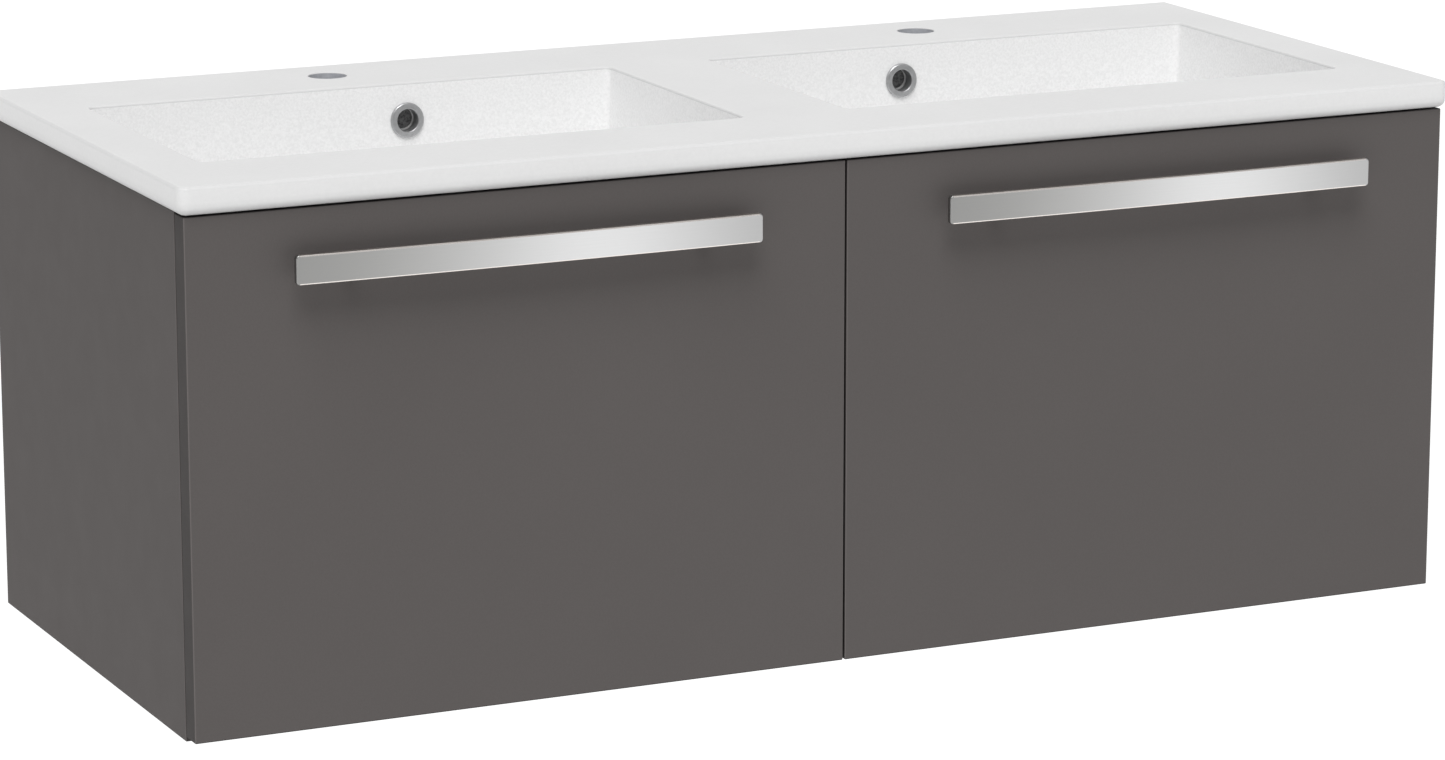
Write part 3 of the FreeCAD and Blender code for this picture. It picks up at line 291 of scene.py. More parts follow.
class Finish:
    """A Principled material that takes its patterns from the object's own coordinates."""

    def __init__(self, name, **sockets):
        self.material = bpy.data.materials.new(name)
        self.material.use_nodes = True
        self.tree = self.material.node_tree
        self.bsdf = self.tree.nodes["Principled BSDF"]
        for socket, value in sockets.items():
            self.bsdf.inputs[socket.replace("_", " ")].default_value = value
        self.coords = self.tree.nodes.new("ShaderNodeTexCoord")
        self.normal = None

    def link(self, output, node, socket):
        self.tree.links.new(output, node.inputs[socket])

    def stretched(self, scale):
        mapping = self.tree.nodes.new("ShaderNodeMapping")
        mapping.inputs["Scale"].default_value = scale
        self.link(self.coords.outputs["Object"], mapping, "Vector")
        return mapping.outputs["Vector"]

    def noise(self, scale, detail=3, rough=0.5, stretch=(1, 1, 1)):
        """Soft noise with this many grains to the metre."""
        node = self.tree.nodes.new("ShaderNodeTexNoise")
        node.inputs["Scale"].default_value = scale
        node.inputs["Detail"].default_value = detail
        node.inputs["Roughness"].default_value = rough
        self.link(self.stretched(stretch), node, "Vector")
        return node.outputs["Fac"]

    def cells(self, scale):
        node = self.tree.nodes.new("ShaderNodeTexVoronoi")
        node.inputs["Scale"].default_value = scale
        self.link(self.stretched((1, 1, 1)), node, "Vector")
        return node.outputs["Distance"]

    def along(self, axis, source="Generated"):
        """How far along the piece's box a point lies, from 0 to 1; with "Object", its place."""
        node = self.tree.nodes.new("ShaderNodeSeparateXYZ")
        self.link(self.coords.outputs[source], node, "Vector")
        return node.outputs[axis]

    def ramp(self, factor, stops, smooth=False):
        node = self.tree.nodes.new("ShaderNodeValToRGB")
        if smooth:
            node.color_ramp.interpolation = "B_SPLINE"
        while len(node.color_ramp.elements) < len(stops):
            node.color_ramp.elements.new(0.5)
        for element, (position, colour) in zip(node.color_ramp.elements, stops):
            element.position = position
            element.color = (*colour, 1)
        self.link(factor, node, "Fac")
        return node.outputs["Color"]

    def spread(self, factor, low, high, start=0.3, end=0.7):
        node = self.tree.nodes.new("ShaderNodeMapRange")
        for socket, value in (("From Min", start), ("From Max", end),
                              ("To Min", low), ("To Max", high)):
            node.inputs[socket].default_value = value
        self.link(factor, node, "Value")
        return node.outputs["Result"]

    def multiplied(self, first, second, factor):
        """The first colour times the second, by this share."""
        node = self.tree.nodes.new("ShaderNodeMix")
        node.data_type = "RGBA"
        node.blend_type = "MULTIPLY"
        node.inputs["Factor"].default_value = factor
        self.tree.links.new(first, node.inputs[6])
        self.tree.links.new(second, node.inputs[7])
        return node.outputs[2]

    def colour(self, output):
        self.link(output, self.bsdf, "Base Color")

    def rough(self, factor, low, high):
        self.link(self.spread(factor, low, high), self.bsdf, "Roughness")

    def bump(self, height, distance, strength=1.0):
        node = self.tree.nodes.new("ShaderNodeBump")
        node.inputs["Distance"].default_value = distance
        node.inputs["Strength"].default_value = strength
        self.link(height, node, "Height")
        if self.normal is not None:
            self.link(self.normal, node, "Normal")
        self.normal = node.outputs["Normal"]
        self.link(self.normal, self.bsdf, "Normal")


def grey(value, warm=0.0):
    return (value * (1 + warm), value, value * (1 - warm))


def umber(value):
    """The foil's dark grey, which leans to brown."""
    return (value * 1.09, value, value * 0.975)


def gelcoat():
    """Cast mineral with a satin gel coat: faint clouds and a soft mottle, with painted shade that
    keeps the slab's edge darker than its top, darkest down its lower round and below it, and a
    darker band on its top round.
    """
    finish = Finish("white_gel_coat", Specular_IOR_Level=0.25)
    clouds = finish.ramp(finish.noise(6, 4), [(0.3, grey(0.80)), (0.7, grey(0.81))])
    mottle = finish.ramp(finish.noise(320, 3, 0.6), [(0.35, grey(0.975)), (0.65, grey(1.0))])
    height = finish.along("Z", "Object")
    # painted shade by height: the edge darker than the top, darkest low down, and a darker band on
    # the top round that damps its highlight
    painted_shade_by_height = finish.ramp(finish.spread(height, 0, 1, SLAB_UNDER, SLAB_TOP), [
        (0.0, grey(0.50)), (0.09, grey(0.68)), (0.23, grey(0.83)), (0.45, grey(0.915)),
        (0.85, grey(0.93)), (0.92, grey(0.88)), (0.985, grey(0.87)), (1.0, grey(1.0))])
    finish.colour(finish.multiplied(finish.multiplied(clouds, mottle, 1.0), painted_shade_by_height, 1.0))
    finish.rough(finish.noise(14, 5, 0.6), 0.32, 0.42)
    finish.bump(finish.noise(240, 2), 0.00003)
    return finish.material


def bowl_gelcoat_painted_light():
    """The bowls' inside: a brighter copy of the gel coat as painted light, darker towards the floor
    as painted shade, and with a grain that shows.
    """
    finish = Finish("white_bowl_coat_painted_light", Specular_IOR_Level=0.4)
    clouds = finish.ramp(finish.noise(9, 4), [(0.3, grey(0.95)), (0.7, grey(0.97))])
    grain = finish.ramp(finish.noise(430, 4, 0.7), [(0.38, grey(0.90)), (0.62, grey(1.0))])
    # painted shade: darker towards the bowl's floor
    depth = finish.ramp(finish.spread(finish.along("Z", "Object"), 0, 1, BOWL_FLOOR, SLAB_TOP),
                        [(0.0, grey(0.90)), (0.3, grey(0.93)), (0.55, grey(1.0))])
    finish.colour(finish.multiplied(finish.multiplied(clouds, grain, 1.0), depth, 1.0))
    finish.rough(finish.noise(14, 5, 0.6), 0.34, 0.44)
    finish.bump(finish.noise(420, 3), 0.00006)
    return finish.material


def graphite(name, shade, roughness, grain):
    """Matt dark lacquer foil on board, with a fine stipple."""
    finish = Finish(name, Specular_IOR_Level=0.05)
    low, high = shade * 0.98, shade * 1.02
    clouds = finish.ramp(finish.noise(5, 5, 0.55), [(0.3, umber(low)), (0.7, umber(high))])
    stipple = finish.ramp(finish.noise(700, 3, 0.6), [(0.35, grey(0.95)), (0.65, grey(1.0))])
    finish.colour(finish.multiplied(clouds, stipple, 1.0))
    finish.rough(finish.noise(30, 4, 0.6), roughness - 0.04, roughness + 0.04)
    finish.bump(finish.noise(700, 3, 0.6), 0.00005 * grain)
    return finish.material


def melamine():
    """Light grey faced board with a fine lengthwise grain."""
    finish = Finish("grey_melamine")
    grain = finish.noise(90, 6, 0.65, (1, 0.04, 1))
    pale = finish.ramp(grain, [(0.3, (0.40, 0.395, 0.385)), (0.7, (0.46, 0.455, 0.45))])
    blotch = finish.ramp(finish.noise(8, 3), [(0.3, grey(0.94)), (0.7, grey(1.0))])
    finish.colour(finish.multiplied(pale, blotch, 0.8))
    finish.rough(grain, 0.42, 0.58)
    finish.bump(grain, 0.0001, 0.6)
    return finish.material


def satin_bar():
    """Brushed and anodised bar, with a painted sheen that rises and falls along its length."""
    finish = Finish("satin_bar", Metallic=1.0)
    # painted reflection: the base colour lighter and darker along the bar
    sheen = finish.ramp(finish.along("X"), [
        (0.0, (0.335, 0.334, 0.328)), (0.2, (0.415, 0.413, 0.405)),
        (0.42, (0.635, 0.635, 0.632)), (0.62, (0.88, 0.882, 0.885)),
        (0.8, (0.735, 0.735, 0.735)), (1.0, (0.50, 0.50, 0.50))], True)
    streaks = finish.noise(700, 5, 0.7, (0.02, 1, 1))
    lines = finish.ramp(streaks, [(0.3, grey(0.93)), (0.7, grey(1.0))])
    finish.colour(finish.multiplied(sheen, lines, 0.8))
    finish.rough(streaks, 0.30, 0.42)
    finish.bump(streaks, 0.00002, 0.5)
    return finish.material


def satin_edge_painted_highlight():
    """The bar's eased edges, with a painted highlight: a brighter, warmer metal than the bar."""
    finish = Finish("satin_edge_painted_highlight", Metallic=1.0)
    streaks = finish.noise(500, 4, 0.6, (0.03, 1, 1))
    finish.colour(finish.ramp(streaks, [(0.3, (0.86, 0.80, 0.76)), (0.7, (0.95, 0.90, 0.86))]))
    finish.rough(streaks, 0.22, 0.32)
    finish.bump(streaks, 0.00002, 0.4)
    return finish.material


def chrome():
    """Polished chrome with faint water marks."""
    finish = Finish("polished_chrome", Metallic=1.0)
    marks = finish.noise(160, 5, 0.65)
    finish.colour(finish.ramp(marks, [(0.3, (0.37, 0.375, 0.385)), (0.7, (0.43, 0.432, 0.44))]))
    finish.rough(marks, 0.12, 0.24)
    finish.bump(finish.noise(300, 2), 0.00002, 0.3)
    return finish.material


def satin_chrome():
    """The overflow rings' dulled face."""
    finish = Finish("satin_chrome", Metallic=0.85)
    marks = finish.noise(420, 4, 0.6)
    finish.colour(finish.ramp(marks, [(0.3, (0.42, 0.425, 0.43)), (0.7, (0.50, 0.502, 0.51))]))
    finish.rough(marks, 0.34, 0.46)
    finish.bump(marks, 0.00003, 0.4)
    return finish.material


def painted_throat_shade():
    """The overflow's throat painted near-black with a mottle: painted shade seen through the
    overflow rings.
    """
    finish = Finish("throat_painted_dark", Specular_IOR_Level=0.4)
    marks = finish.noise(420, 4, 0.7)
    finish.colour(finish.ramp(marks, [(0.38, grey(0.06)), (0.62, grey(0.24))]))
    finish.rough(marks, 0.35, 0.6)
    finish.bump(marks, 0.0001, 0.6)
    return finish.material


def raw_cast():
    """Unpolished casting inside the tap holes."""
    finish = Finish("raw_casting", Specular_IOR_Level=0.2)
    pores = finish.noise(260, 4, 0.65)
    finish.colour(finish.ramp(pores, [(0.3, (0.44, 0.45, 0.48)), (0.7, (0.53, 0.54, 0.57))]))
    finish.rough(pores, 0.6, 0.75)
    finish.bump(pores, 0.0001, 0.6)
    return finish.material


def zinc(name, shade, grain):
    """Zinc-plated steel: spangled tone and rolling lines."""
    finish = Finish(name, Metallic=1.0)
    spangle = finish.ramp(finish.cells(grain), [(0.1, grey(shade * 0.86)), (0.6, grey(shade))])
    roll = finish.noise(400, 4, 0.6, (1, 0.05, 1))
    lines = finish.ramp(roll, [(0.3, grey(0.85)), (0.7, grey(1.0))])
    finish.colour(finish.multiplied(spangle, lines, 0.7))
    finish.rough(roll, 0.28, 0.46)
    finish.bump(roll, 0.00003, 0.5)
    return finish.material


def moulded(name, shade, roughness):
    """Injection-moulded plastic with a fine spark-eroded skin."""
    finish = Finish(name)
    tone = finish.noise(25, 4, 0.6)
    finish.colour(finish.ramp(tone, [(0.3, grey(shade * 0.94, 0.004)), (0.7, grey(shade, 0.002))]))
    finish.rough(finish.noise(60, 3), roughness - 0.06, roughness + 0.06)
    finish.bump(finish.noise(1500, 2), 0.00004, 0.7)
    return finish.material


def rubber():
    finish = Finish("black_rubber", Specular_IOR_Level=0.3)
    bloom = finish.noise(120, 4, 0.6)
    finish.colour(finish.ramp(bloom, [(0.3, grey(0.018)), (0.7, grey(0.035))]))
    finish.rough(bloom, 0.65, 0.85)
    finish.bump(finish.noise(900, 2), 0.00005, 0.8)
    return finish.material


def beech():
    finish = Finish("beech")
    grain = finish.noise(260, 5, 0.6, (0.08, 1, 1))
    finish.colour(finish.ramp(grain, [(0.3, (0.42, 0.25, 0.13)), (0.7, (0.62, 0.42, 0.25))]))
    finish.rough(grain, 0.5, 0.7)
    finish.bump(grain, 0.00008, 0.6)
    return finish.material


def bumper():
    """Soft milky pad."""
    finish = Finish("milky_bumper", Transmission_Weight=0.35, IOR=1.45)
    cloud = finish.noise(300, 3)
    finish.colour(finish.ramp(cloud, [(0.3, grey(0.55)), (0.7, grey(0.68))]))
    finish.rough(cloud, 0.25, 0.4)
    finish.bump(cloud, 0.00003, 0.4)
    return finish.material


basin_white, bowl_white_painted_light, bore_grey = gelcoat(), bowl_gelcoat_painted_light(), raw_cast()
board_face = graphite("graphite_face", 0.099, 0.6, 1.0)
board_edge = graphite("graphite_edge_band", 0.055, 0.55, 0.6)
# painted shade: faces turned down are near-black, a dark line along the boards' bottom edges
board_underside_shade = graphite("graphite_underside_painted_shade", 0.03, 0.6, 0.6)
# painted highlight: the upright rounded edges a lighter tone, a glint line
board_glint = graphite("graphite_round_painted_glint", 0.128, 0.5, 0.6)
drawer_board = melamine()
bar_metal, bar_edge_painted_highlight = satin_bar(), satin_edge_painted_highlight()
bright_chrome, dull_chrome = chrome(), satin_chrome()
waste_plastic = moulded("white_moulding", 0.70, 0.42)
throat_shade_finish = painted_throat_shade()
hose_plastic = moulded("grey_hose", 0.42, 0.5)

BY_SLOT = {
    "basin_white": basin_white,
    "graphite_board": board_face,
    "drawer_board": drawer_board,
    "satin_aluminium": bar_metal,
    "runner_steel": zinc("runner_zinc", 0.62, 420),
    "screw_zinc": zinc("screw_zinc", 0.55, 1500),
    "beech_dowel": beech(),
    "polished_chrome": bright_chrome,
    "waste_plastic": waste_plastic,
    "grey_hose": hose_plastic,
    "black_rubber": rubber(),
    "clear_bumper": bumper(),
}


# ---------------------------------------------------------------- the basin slab

def slab_edge(inset, z, steps=8):
    """The slab's outline from its rear left corner round the front to its rear right corner."""
    x, y, radius = SLAB_HALF - inset, SLAB_FRONT + inset, SLAB_CORNER - inset
    points = [(-x, 0, z)]
    for middle, start in ((-x + radius, 180), (x - radius, 270)):
        points += [(middle + radius * math.cos(a), y + radius + radius * math.sin(a), z)
                   for a in arc(steps, start, start + 90)]
    return points + [(x, 0, z)]


def bowl_rows(middle):
    """The bowl's inside from the rim down to the flat floor."""
    rows = []
    for a in arc(RIM_STEPS, 0, 90):
        inset = -RIM_ROUND * (1 - math.sin(a))
        z = SLAB_TOP - RIM_ROUND * (1 - math.cos(a))
        rows.append((inset, z, BOWL_CORNER - inset))
    foot_top = BOWL_FLOOR + BOWL_FOOT
    wall_top = SLAB_TOP - RIM_ROUND
    for step in range(1, 7):
        z = wall_top + (foot_top - wall_top) * step / 6
        rows.append((DRAFT * (SLAB_TOP - z), z, BOWL_CORNER))
    at_foot = rows[-1][0]
    for a in arc(10, 0, 90)[1:]:
        round_in = BOWL_FOOT * (1 - math.cos(a))
        rows.append((at_foot + round_in, foot_top - BOWL_FOOT * math.sin(a),
                     BOWL_CORNER - round_in))
    return [rounded_rectangle(middle, BOWL_HALF - Vector((inset, inset)), radius, z)
            for inset, z, radius in rows]


def shell_rows(middle):
    """The bowl's outside from the slab's underside down to its flat bottom."""
    corner, foot = BOWL_CORNER + SHELL, BOWL_FOOT + SHELL
    half = BOWL_HALF + Vector((SHELL, SHELL))
    bottom = BOWL_FLOOR - SHELL
    foot_top = bottom + foot
    rows = [(0, SLAB_UNDER, corner), (DRAFT * (SLAB_UNDER - foot_top), foot_top, corner)]
    for a in arc(10, 0, 90)[1:]:
        round_in = foot * (1 - math.cos(a))
        rows.append((rows[1][0] + round_in, foot_top - foot * math.sin(a), corner - round_in))
    return [rounded_rectangle(middle, half - Vector((inset, inset)), radius, z)
            for inset, z, radius in rows]


def make_slab():
    bm = bmesh.new()
    levels = [(TOP_ROUND * (1 - math.sin(a)), SLAB_TOP - TOP_ROUND * (1 - math.cos(a)))
              for a in arc(6, 0, 90)]
    levels += [(LOW_ROUND * (1 - math.cos(a)), SLAB_UNDER + LOW_ROUND * (1 - math.sin(a)))
               for a in arc(8, 0, 90)]
    edge = loft(bm, [slab_edge(inset, z) for inset, z in levels], closed=False)
    bm.faces.new([row[0] for row in edge] + [row[-1] for row in reversed(edge)])
    top_loops, under_loops = [edge[0]], [edge[-1]]
    for _, side in SIDES:
        middle = (side * BOWL_MID.x, BOWL_MID.y)
        inside = loft(bm, bowl_rows(middle))
        # the bowls' inside takes the brighter copy of the gel coat, painted light
        painted(inside[RIM_STEPS + 1:], 1)
        outside = loft(bm, shell_rows(middle))
        drain = loft(bm, [circle(*middle, DRAIN_RADIUS, z, 64)
                          for z in (BOWL_FLOOR, BOWL_FLOOR - SHELL)])
        for face in fill(bm, [inside[-1], drain[0]], (0, 0, 1)):
            face.material_index = 1
        fill(bm, [outside[-1], drain[1]], (0, 0, -1))
        tap_rows = [(TAP_RADIUS + TAP_ROUND * (1 - math.sin(a)),
                     SLAB_TOP - TAP_ROUND * (1 - math.cos(a))) for a in arc(4, 0, 90)]
        tap_rows.append((TAP_RADIUS, SLAB_UNDER))
        tap = loft(bm, [circle(middle[0], -TAP_BACK, radius, z, 56) for radius, z in tap_rows])
        painted(tap[-1:], 2)
        top_loops += [inside[0], tap[0]]
        under_loops += [outside[0], tap[-1]]
    fill(bm, top_loops, (0, 0, 1))
    fill(bm, under_loops, (0, 0, -1))
    slab = finished("basin_slab", bm, [basin_white, bowl_white_painted_light, bore_grey], 30)
    slab.modifiers.clear()

    cut_overflows(slab)
    slab.data.shade_smooth()
    slab.data.set_sharp_from_angle(angle=math.radians(30))
    normals = slab.modifiers.new("even_normals", "WEIGHTED_NORMAL")
    normals.keep_sharp = True
    return stands_for(slab, "basin_top")


def cut_overflows(slab):
    """Cuts each overflow's hole, and the flat pocket behind it, out of the slab's mesh."""
    cutter = bmesh.new()
    for _, side in SIDES:
        place = facing((side * OVERFLOW.x, 0, OVERFLOW.z), 90)
        turned(cutter, [(0, HOLE_FRONT), (OVERFLOW_HOLE, HOLE_FRONT), (OVERFLOW_HOLE, SEAT_BACK),
                        (OVERFLOW_POCKET, SEAT_BACK), (OVERFLOW_POCKET, POCKET_BACK),
                        (0, POCKET_BACK)], 64, False, place)
    tool = finished("overflow_cutter", cutter, [])
    tool.modifiers.clear()
    carve = slab.modifiers.new("overflows", "BOOLEAN")
    carve.solver = "EXACT"
    carve.object = tool
    evaluated = slab.evaluated_get(bpy.context.evaluated_depsgraph_get())
    carved = bpy.data.meshes.new_from_object(evaluated)
    slab.modifiers.clear()
    slab.data = carved
    bpy.data.objects.remove(tool)


# ---------------------------------------------------------------- boards and fronts

FACE, BAND, UNDERSIDE_SHADE, ROUND = range(4)


def board_finish(normal, edge_way):
    """Which finish a board's face has, when its upright edges face edge_way."""
    # faces turned down take the painted shade
    if normal.z < -0.15:
        return UNDERSIDE_SHADE
    # upright rounds take the painted glint
    if min(abs(normal.x), abs(normal.y)) > 0.15:
        return ROUND
    return BAND if max(abs(normal.z), abs(edge_way)) > 0.8 else FACE


def front_finish(normal):
    return board_finish(normal, normal.x)


def panel_finish(normal):
    return board_finish(normal, normal.y)


def make_boards():
    finishes = [board_face, board_edge, board_underside_shade, board_glint]
    for label, _ in SIDES:
        eased("drawer_front_" + label, 1 * MM, finishes, front_finish)
        eased("side_panel_" + label, 0.8 * MM, finishes, panel_finish)
        for node in ("drawer_side_inner_", "drawer_side_outer_", "drawer_bottom_",
                     "drawer_back_", "siphon_surround_"):
            eased(node + label, 0.7 * MM, [drawer_board])
        eased("front_crossrail_" + label, 0.5 * MM, [board_face])
    for node in ("centre_partition", "bottom_panel", "hanging_rail", "lower_back_rail"):
        eased(node, 0.5 * MM, [board_face])


# ---------------------------------------------------------------- handles

def handle_columns(half_long, half_high, inset):
    """(place along the bar, half height there) from end to end, the outline drawn in by inset."""
    radius = HANDLE_CORNER - inset
    long_inside, high_inside = half_long - HANDLE_CORNER, half_high - HANDLE_CORNER
    left = [(-long_inside - radius * math.cos(a), high_inside + radius * math.sin(a))
            for a in arc(6, 0, 90)]
    middle = [(-long_inside + 2 * long_inside * i / 48, half_high - inset) for i in range(1, 48)]
    right = [(-x, high) for x, high in reversed(left)]
    return left + middle + right


def make_handle(label, side):
    low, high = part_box("drawer_handle_" + label)
    middle = (low + high) / 2
    half_long, half_high = (high.x - low.x) / 2, (high.z - low.z) / 2
    bm = bmesh.new()

    def bowed(x):
        return HANDLE_BOW * (x / half_long) ** 2

    def ring(inset, depth):
        columns = handle_columns(half_long, half_high, inset)
        around = [(x, half) for x, half in columns] + [(x, -half) for x, half in reversed(columns)]
        return [(middle.x + x, low.y + depth + bowed(x), middle.z + up) for x, up in around]

    rows = [(HANDLE_EDGE * (1 - math.sin(a)), HANDLE_EDGE * (1 - math.cos(a)))
            for a in arc(5, 0, 90)]
    rows += [(inset, HANDLE_THICK - depth) for inset, depth in reversed(rows)]
    rings = loft(bm, [ring(inset, depth) for inset, depth in rows])
    count = len(rings[0])
    flats = []
    for loop in (rings[0], rings[-1]):
        for i in range(count // 2 - 1):
            corners = [loop[i], loop[i + 1], loop[count - 2 - i], loop[count - 1 - i]]
            flats.append(bm.faces.new(corners))
    # the bar's long top and bottom edges take the painted highlight; its ends and flat faces keep
    # the bar's metal
    for face in bm.faces:
        from_middle = abs(face.calc_center_median().x - middle.x)
        face.material_index = from_middle < half_long - HANDLE_CORNER
    for face in flats:
        face.material_index = 0
    reach = FRONT_FACE - low.y - HANDLE_THICK
    for sign in (-1, 1):
        x = sign * POST_PITCH / 2
        far = reach - bowed(x) + POST_SUNK
        post = softened([(0, 0), (POST_RADIUS, 0), (POST_RADIUS, far), (0, far)],
                        (0, 0.4 * MM, 0, 0), 4, False)
        # the posts take the painted highlight too
        painted(turned(bm, post, 48, False, facing((middle.x + x, FRONT_FACE, middle.z), 90)), 1)
    bar = finished("handle_" + label, bm, [bar_metal, bar_edge_painted_highlight])
    return stands_for(bar, "drawer_handle_" + label)


# ---------------------------------------------------------------- overflow and waste

def millimetres(profile):
    return [(radius * MM, height * MM) for radius, height in profile]


def make_overflow_ring(label, side):
    profile = softened(millimetres([(10, -9), (11.4, -9), (11.4, 0), (16, 0), (16, 1.4),
                                    (15.1, 2.5), (10.7, 3.2), (10, 2.2)]),
                       [r * MM for r in (0.2, 0.2, 0, 0.2, 0.5, 0.5, 0.4, 0.4)], 4)
    bm = bmesh.new()
    place = facing((side * OVERFLOW.x, OVERFLOW.y, OVERFLOW.z), 90 - DRAFT_DEGREES)
    turned(bm, profile, 112, True, place)
    ring = finished("overflow_ring_trim_" + label, bm, [dull_chrome])
    return stands_for(ring, "overflow_ring_" + label)


def make_elbow(label, side):
    """A flanged cup against the bowl's wall, and a leg down to the hose."""
    bm = bmesh.new()
    tube = 9
    place = facing((side * OVERFLOW.x, -SEAT_BACK, OVERFLOW.z), -90)
    throat = millimetres([(0, 3.6), (6, 3.2), (8.6, 2.2), (9.4, 1)])
    mouth = turned(bm, throat, 64, False, place)
    barrel_end = (SEAT_BACK - HOSE_BACK) / MM
    barrel = softened(millimetres([(9.4, 1), (9.8, 0), (15, 0), (15, 11), (tube, 11),
                                   (tube, barrel_end)]),
                      [r * MM for r in (0, 0.2, 0.6, 1.5, 1.5, 0)], 4, False)
    turned(bm, barrel, 64, False, place)
    # the mouth takes the painted shade; the rest of the elbow is white plastic
    painted(mouth, 1)
    end = -LEG_LONG / MM
    leg = [(0, tube)] + [(tube * math.sin(a), tube * math.cos(a)) for a in arc(16, 0, 90)[1:]]
    leg += [(tube, end + 9), (9.9, end + 8), (9.9, end + 0.4), (9.5, end), (0, end)]
    leg_top = Matrix.Translation((side * OVERFLOW.x, -HOSE_BACK, OVERFLOW.z))
    turned(bm, millimetres(leg), 64, False, leg_top)
    elbow = finished("overflow_bend_" + label, bm, [waste_plastic, throat_shade_finish])
    return stands_for(elbow, "overflow_elbow_" + label)


def make_waste(label, side):
    """The chrome flange with its hub on three spokes, and the collector under the bowl."""
    at = Matrix.Translation((side * BOWL_MID.x, BOWL_MID.y, BOWL_FLOOR))
    bm = bmesh.new()
    flange = softened(millimetres([(17, -50), (20, -50), (20, 0), (32, 0), (33, 1), (30, 2.6),
                                   (19, 3), (17, 1.5)]),
                      [r * MM for r in (0.3, 0.5, 0, 0.3, 0.9, 1.4, 1.2, 0.8)], 4)
    turned(bm, flange, 112, True, at)
    hub = softened(millimetres([(4.3, -22), (7, -22), (7, -14), (4.3, -14)]), [0.5 * MM] * 4, 3)
    turned(bm, hub, 48, True, at)
    for i in range(3):
        turn = at @ Matrix.Rotation(math.radians(120 * i + 90), 4, "Z")
        spoke = rounded_rectangle((0, 0), (1.5 * MM, 4 * MM), 1.2 * MM, 0, 4)
        rows = [[turn @ Vector((reach, x, y - 18 * MM)) for x, y, _ in spoke]
                for reach in (6 * MM, 18.4 * MM)]
        ends = loft(bm, rows)
        bm.faces.new(ends[0])
        bm.faces.new(ends[1])
    stands_for(finished("waste_fitting_" + label, bm, [bright_chrome]), "waste_flange_" + label)

    bm = bmesh.new()
    top = -SHELL / MM - 3
    low = top - 55
    grip = [(30, top), (30, top - 14)]
    for i in range(5):
        level = top - 16 - 4 * i
        grip += [(29.2, level), (29.2, level - 1.6), (30, level - 2), (30, level - 3.6)]
    profile = [(20.4, top)] + grip
    profile += [(30, low + 8), (18, low + 1), (17.4, low - 3), (16, low - 5), (16, low - 60),
                (14, low - 60), (14, low + 2), (20.4, low + 8)]
    turned(bm, softened(millimetres(profile), [0.35 * MM] * len(profile), 2), 96, True, at)
    start = Vector((side * BOWL_MID.x, BOWL_MID.y, INLET_Z))
    reaches = (25, INLET_LONG - 5, INLET_LONG - 4.6, INLET_LONG - 0.4, INLET_LONG)
    swept(bm, [start + hose_run(side) * reach * MM for reach in reaches],
          [r * MM for r in (9, 9, 9.8, 9.8, 9.4)])
    stands_for(finished("waste_collector_" + label, bm, [waste_plastic]), "waste_body_" + label)


def hose_run(side):
    """The way from the drain's axis towards the hose's upright run, level."""
    return Vector((side * (OVERFLOW.x - BOWL_MID.x), -HOSE_BACK - BOWL_MID.y, 0)).normalized()


def make_hose(label, side):
    """A ribbed hose on a smooth line, with plain cuffs at both ends."""
    top = Vector((side * OVERFLOW.x, -HOSE_BACK, OVERFLOW.z - LEG_LONG))
    corner = Vector((top.x, top.y, INLET_Z))
    end = Vector((side * BOWL_MID.x, BOWL_MID.y, INLET_Z)) + hose_run(side) * INLET_LONG * MM
    line = bpy.data.curves.new("hose_line", "CURVE")
    line.dimensions = "3D"
    spline = line.splines.new("NURBS")
    controls = [top, top.lerp(corner, 0.5), corner, corner.lerp(end, 0.55), end]
    spline.points.add(len(controls) - 1)
    for point, place in zip(spline.points, controls):
        point.co = (*place, 1)
    spline.order_u = 3
    spline.use_endpoint_u = True
    spline.resolution_u = 64
    carrier = bpy.data.objects.new("hose_line", line)
    bpy.context.scene.collection.objects.link(carrier)
    bpy.context.view_layer.update()
    path = [vertex.co.copy() for vertex in bpy.data.meshes.new_from_object(carrier).vertices]
    bpy.data.objects.remove(carrier)

    rib, groove, steps_per_rib = 3.6 * MM, 0.9 * MM, 8
    cuff, radius = 14 * MM, 7 * MM
    lengths = [0.0]
    for first, second in zip(path, path[1:]):
        lengths.append(lengths[-1] + (second - first).length)
    total = lengths[-1]
    count = int(total / rib * steps_per_rib)
    points, radii, at = [], [], 0
    for i in range(count + 1):
        along = total * i / count
        while at < len(lengths) - 2 and lengths[at + 1] < along:
            at += 1
        share = (along - lengths[at]) / max(lengths[at + 1] - lengths[at], 1e-9)
        points.append(path[at].lerp(path[at + 1], share))
        plain = along < cuff or along > total - cuff
        wave = 0.5 - 0.5 * math.cos(2 * math.pi * (along - cuff) / rib)
        radii.append(radius if plain else radius - groove * wave)
    bm = bmesh.new()
    swept(bm, points, radii)
    pipe = finished("overflow_pipe_" + label, bm, [hose_plastic], 60)
    return stands_for(pipe, "overflow_hose_" + label)


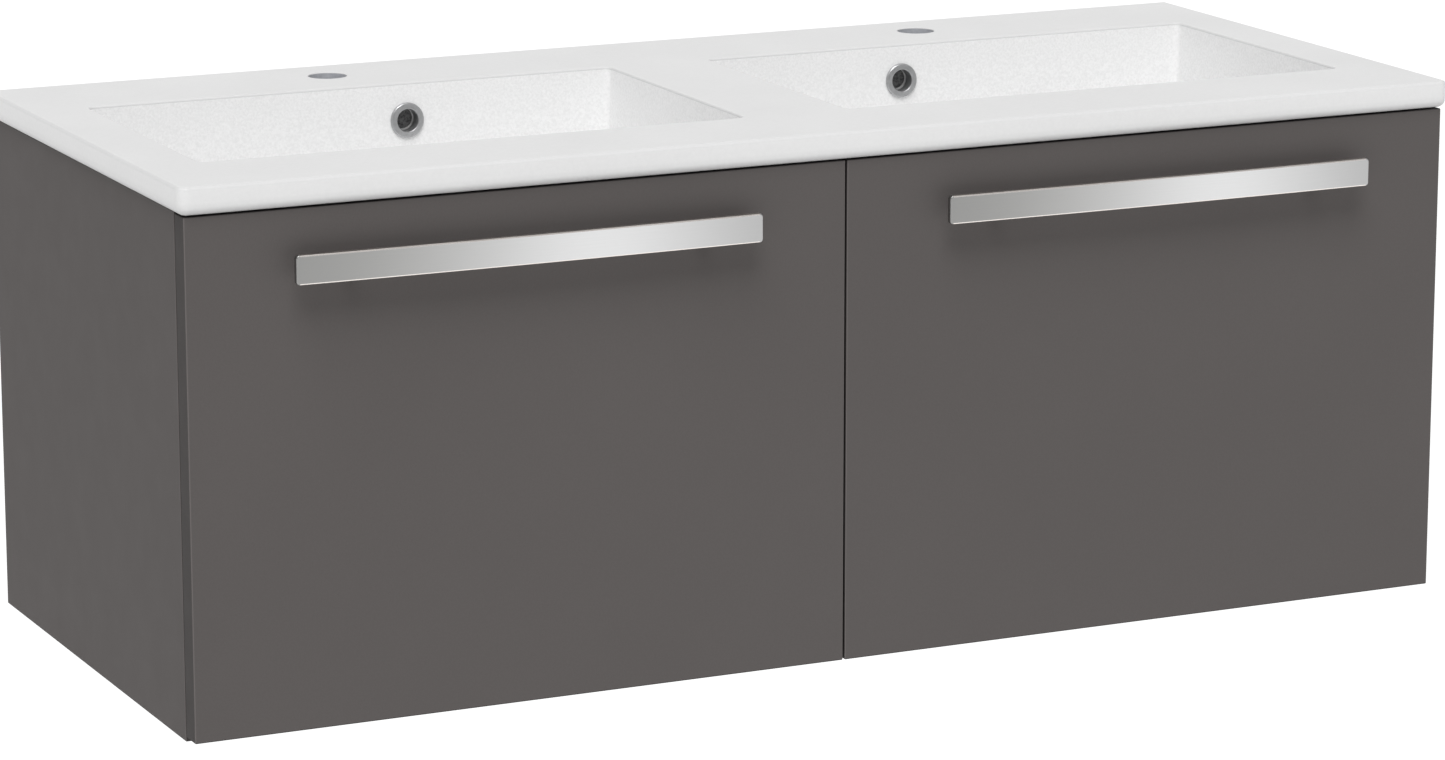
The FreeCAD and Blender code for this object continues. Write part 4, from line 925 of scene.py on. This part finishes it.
def make_plug(label, side):
    low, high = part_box("plug_" + label)
    centre = (low + high) / 2
    at = Matrix.Translation((centre.x, centre.y, high.z))
    stem = (high.z - low.z) / MM
    profile = softened(millimetres([(0, 0), (14, -0.5), (26, -2.4), (31, -4.4), (31, -6),
                                    (29, -6.3), (12, -6.3), (4, -8), (4, -stem + 1),
                                    (3.2, -stem), (0, -stem)]),
                       [r * MM for r in (0, 4, 3, 1, 0.6, 0.4, 2, 2, 0.4, 0.4, 0)], 4, False)
    bm = bmesh.new()
    turned(bm, profile, 112, False, at)
    return stands_for(finished("plug_cap_" + label, bm, [bright_chrome]), "plug_" + label)


# ---------------------------------------------------------------- studio

def make_floor():
    bm = bmesh.new()
    lines = [FLOOR_REACH * (2 * i / FLOOR_CELLS - 1) for i in range(FLOOR_CELLS + 1)]
    loft(bm, [[(x, y, FLOOR_LEVEL) for x in lines] for y in lines], closed=False)
    finish = Finish("pale_floor", Specular_IOR_Level=0.0, Roughness=0.9,
                    Emission_Color=(1, 1, 1, 1), Emission_Strength=FLOOR_GLOW)
    finish.colour(finish.ramp(finish.noise(0.6, 2), [(0.3, grey(0.46)), (0.7, grey(0.47))]))
    floor = finished("studio_floor", bm, [finish.material])


def make_light():
    world = bpy.data.worlds.new("studio")
    world.use_nodes = True
    background = world.node_tree.nodes["Background"]
    background.inputs["Color"].default_value = (1, 1, 1, 1)
    background.inputs["Strength"].default_value = SKY_STRENGTH
    bpy.context.scene.world = world
    light = bpy.data.lights.new("key", "SUN")
    light.energy = KEY_STRENGTH
    light.angle = math.radians(KEY_DEGREES)
    lamp = bpy.data.objects.new("key", light)
    lamp.rotation_euler = KEY_WAY.to_track_quat("-Z", "Y").to_euler()
    bpy.context.scene.collection.objects.link(lamp)


def make_camera():
    data = bpy.data.cameras.new("camera")
    data.sensor_width = 36
    data.lens = CAMERA_LENS
    data.clip_end = 60
    camera = bpy.data.objects.new("camera", data)
    camera.location = CAMERA_PLACE
    camera.rotation_euler = (math.radians(90 - CAMERA_DOWN), 0, math.radians(CAMERA_TURN))
    bpy.context.scene.collection.objects.link(camera)
    bpy.context.scene.camera = camera


make_slab()
make_boards()
for label, side in SIDES:
    make_handle(label, side)
    make_overflow_ring(label, side)
    make_elbow(label, side)
    make_waste(label, side)
    make_hose(label, side)
    make_plug(label, side)
for node, obj in frame["nodes"].items():
    for material_slot in obj.material_slots:
        material_slot.material = BY_SLOT[slot_of[node]]
make_floor()
make_light()
make_camera()
bpy.context.scene.view_settings.view_transform = "Standard"
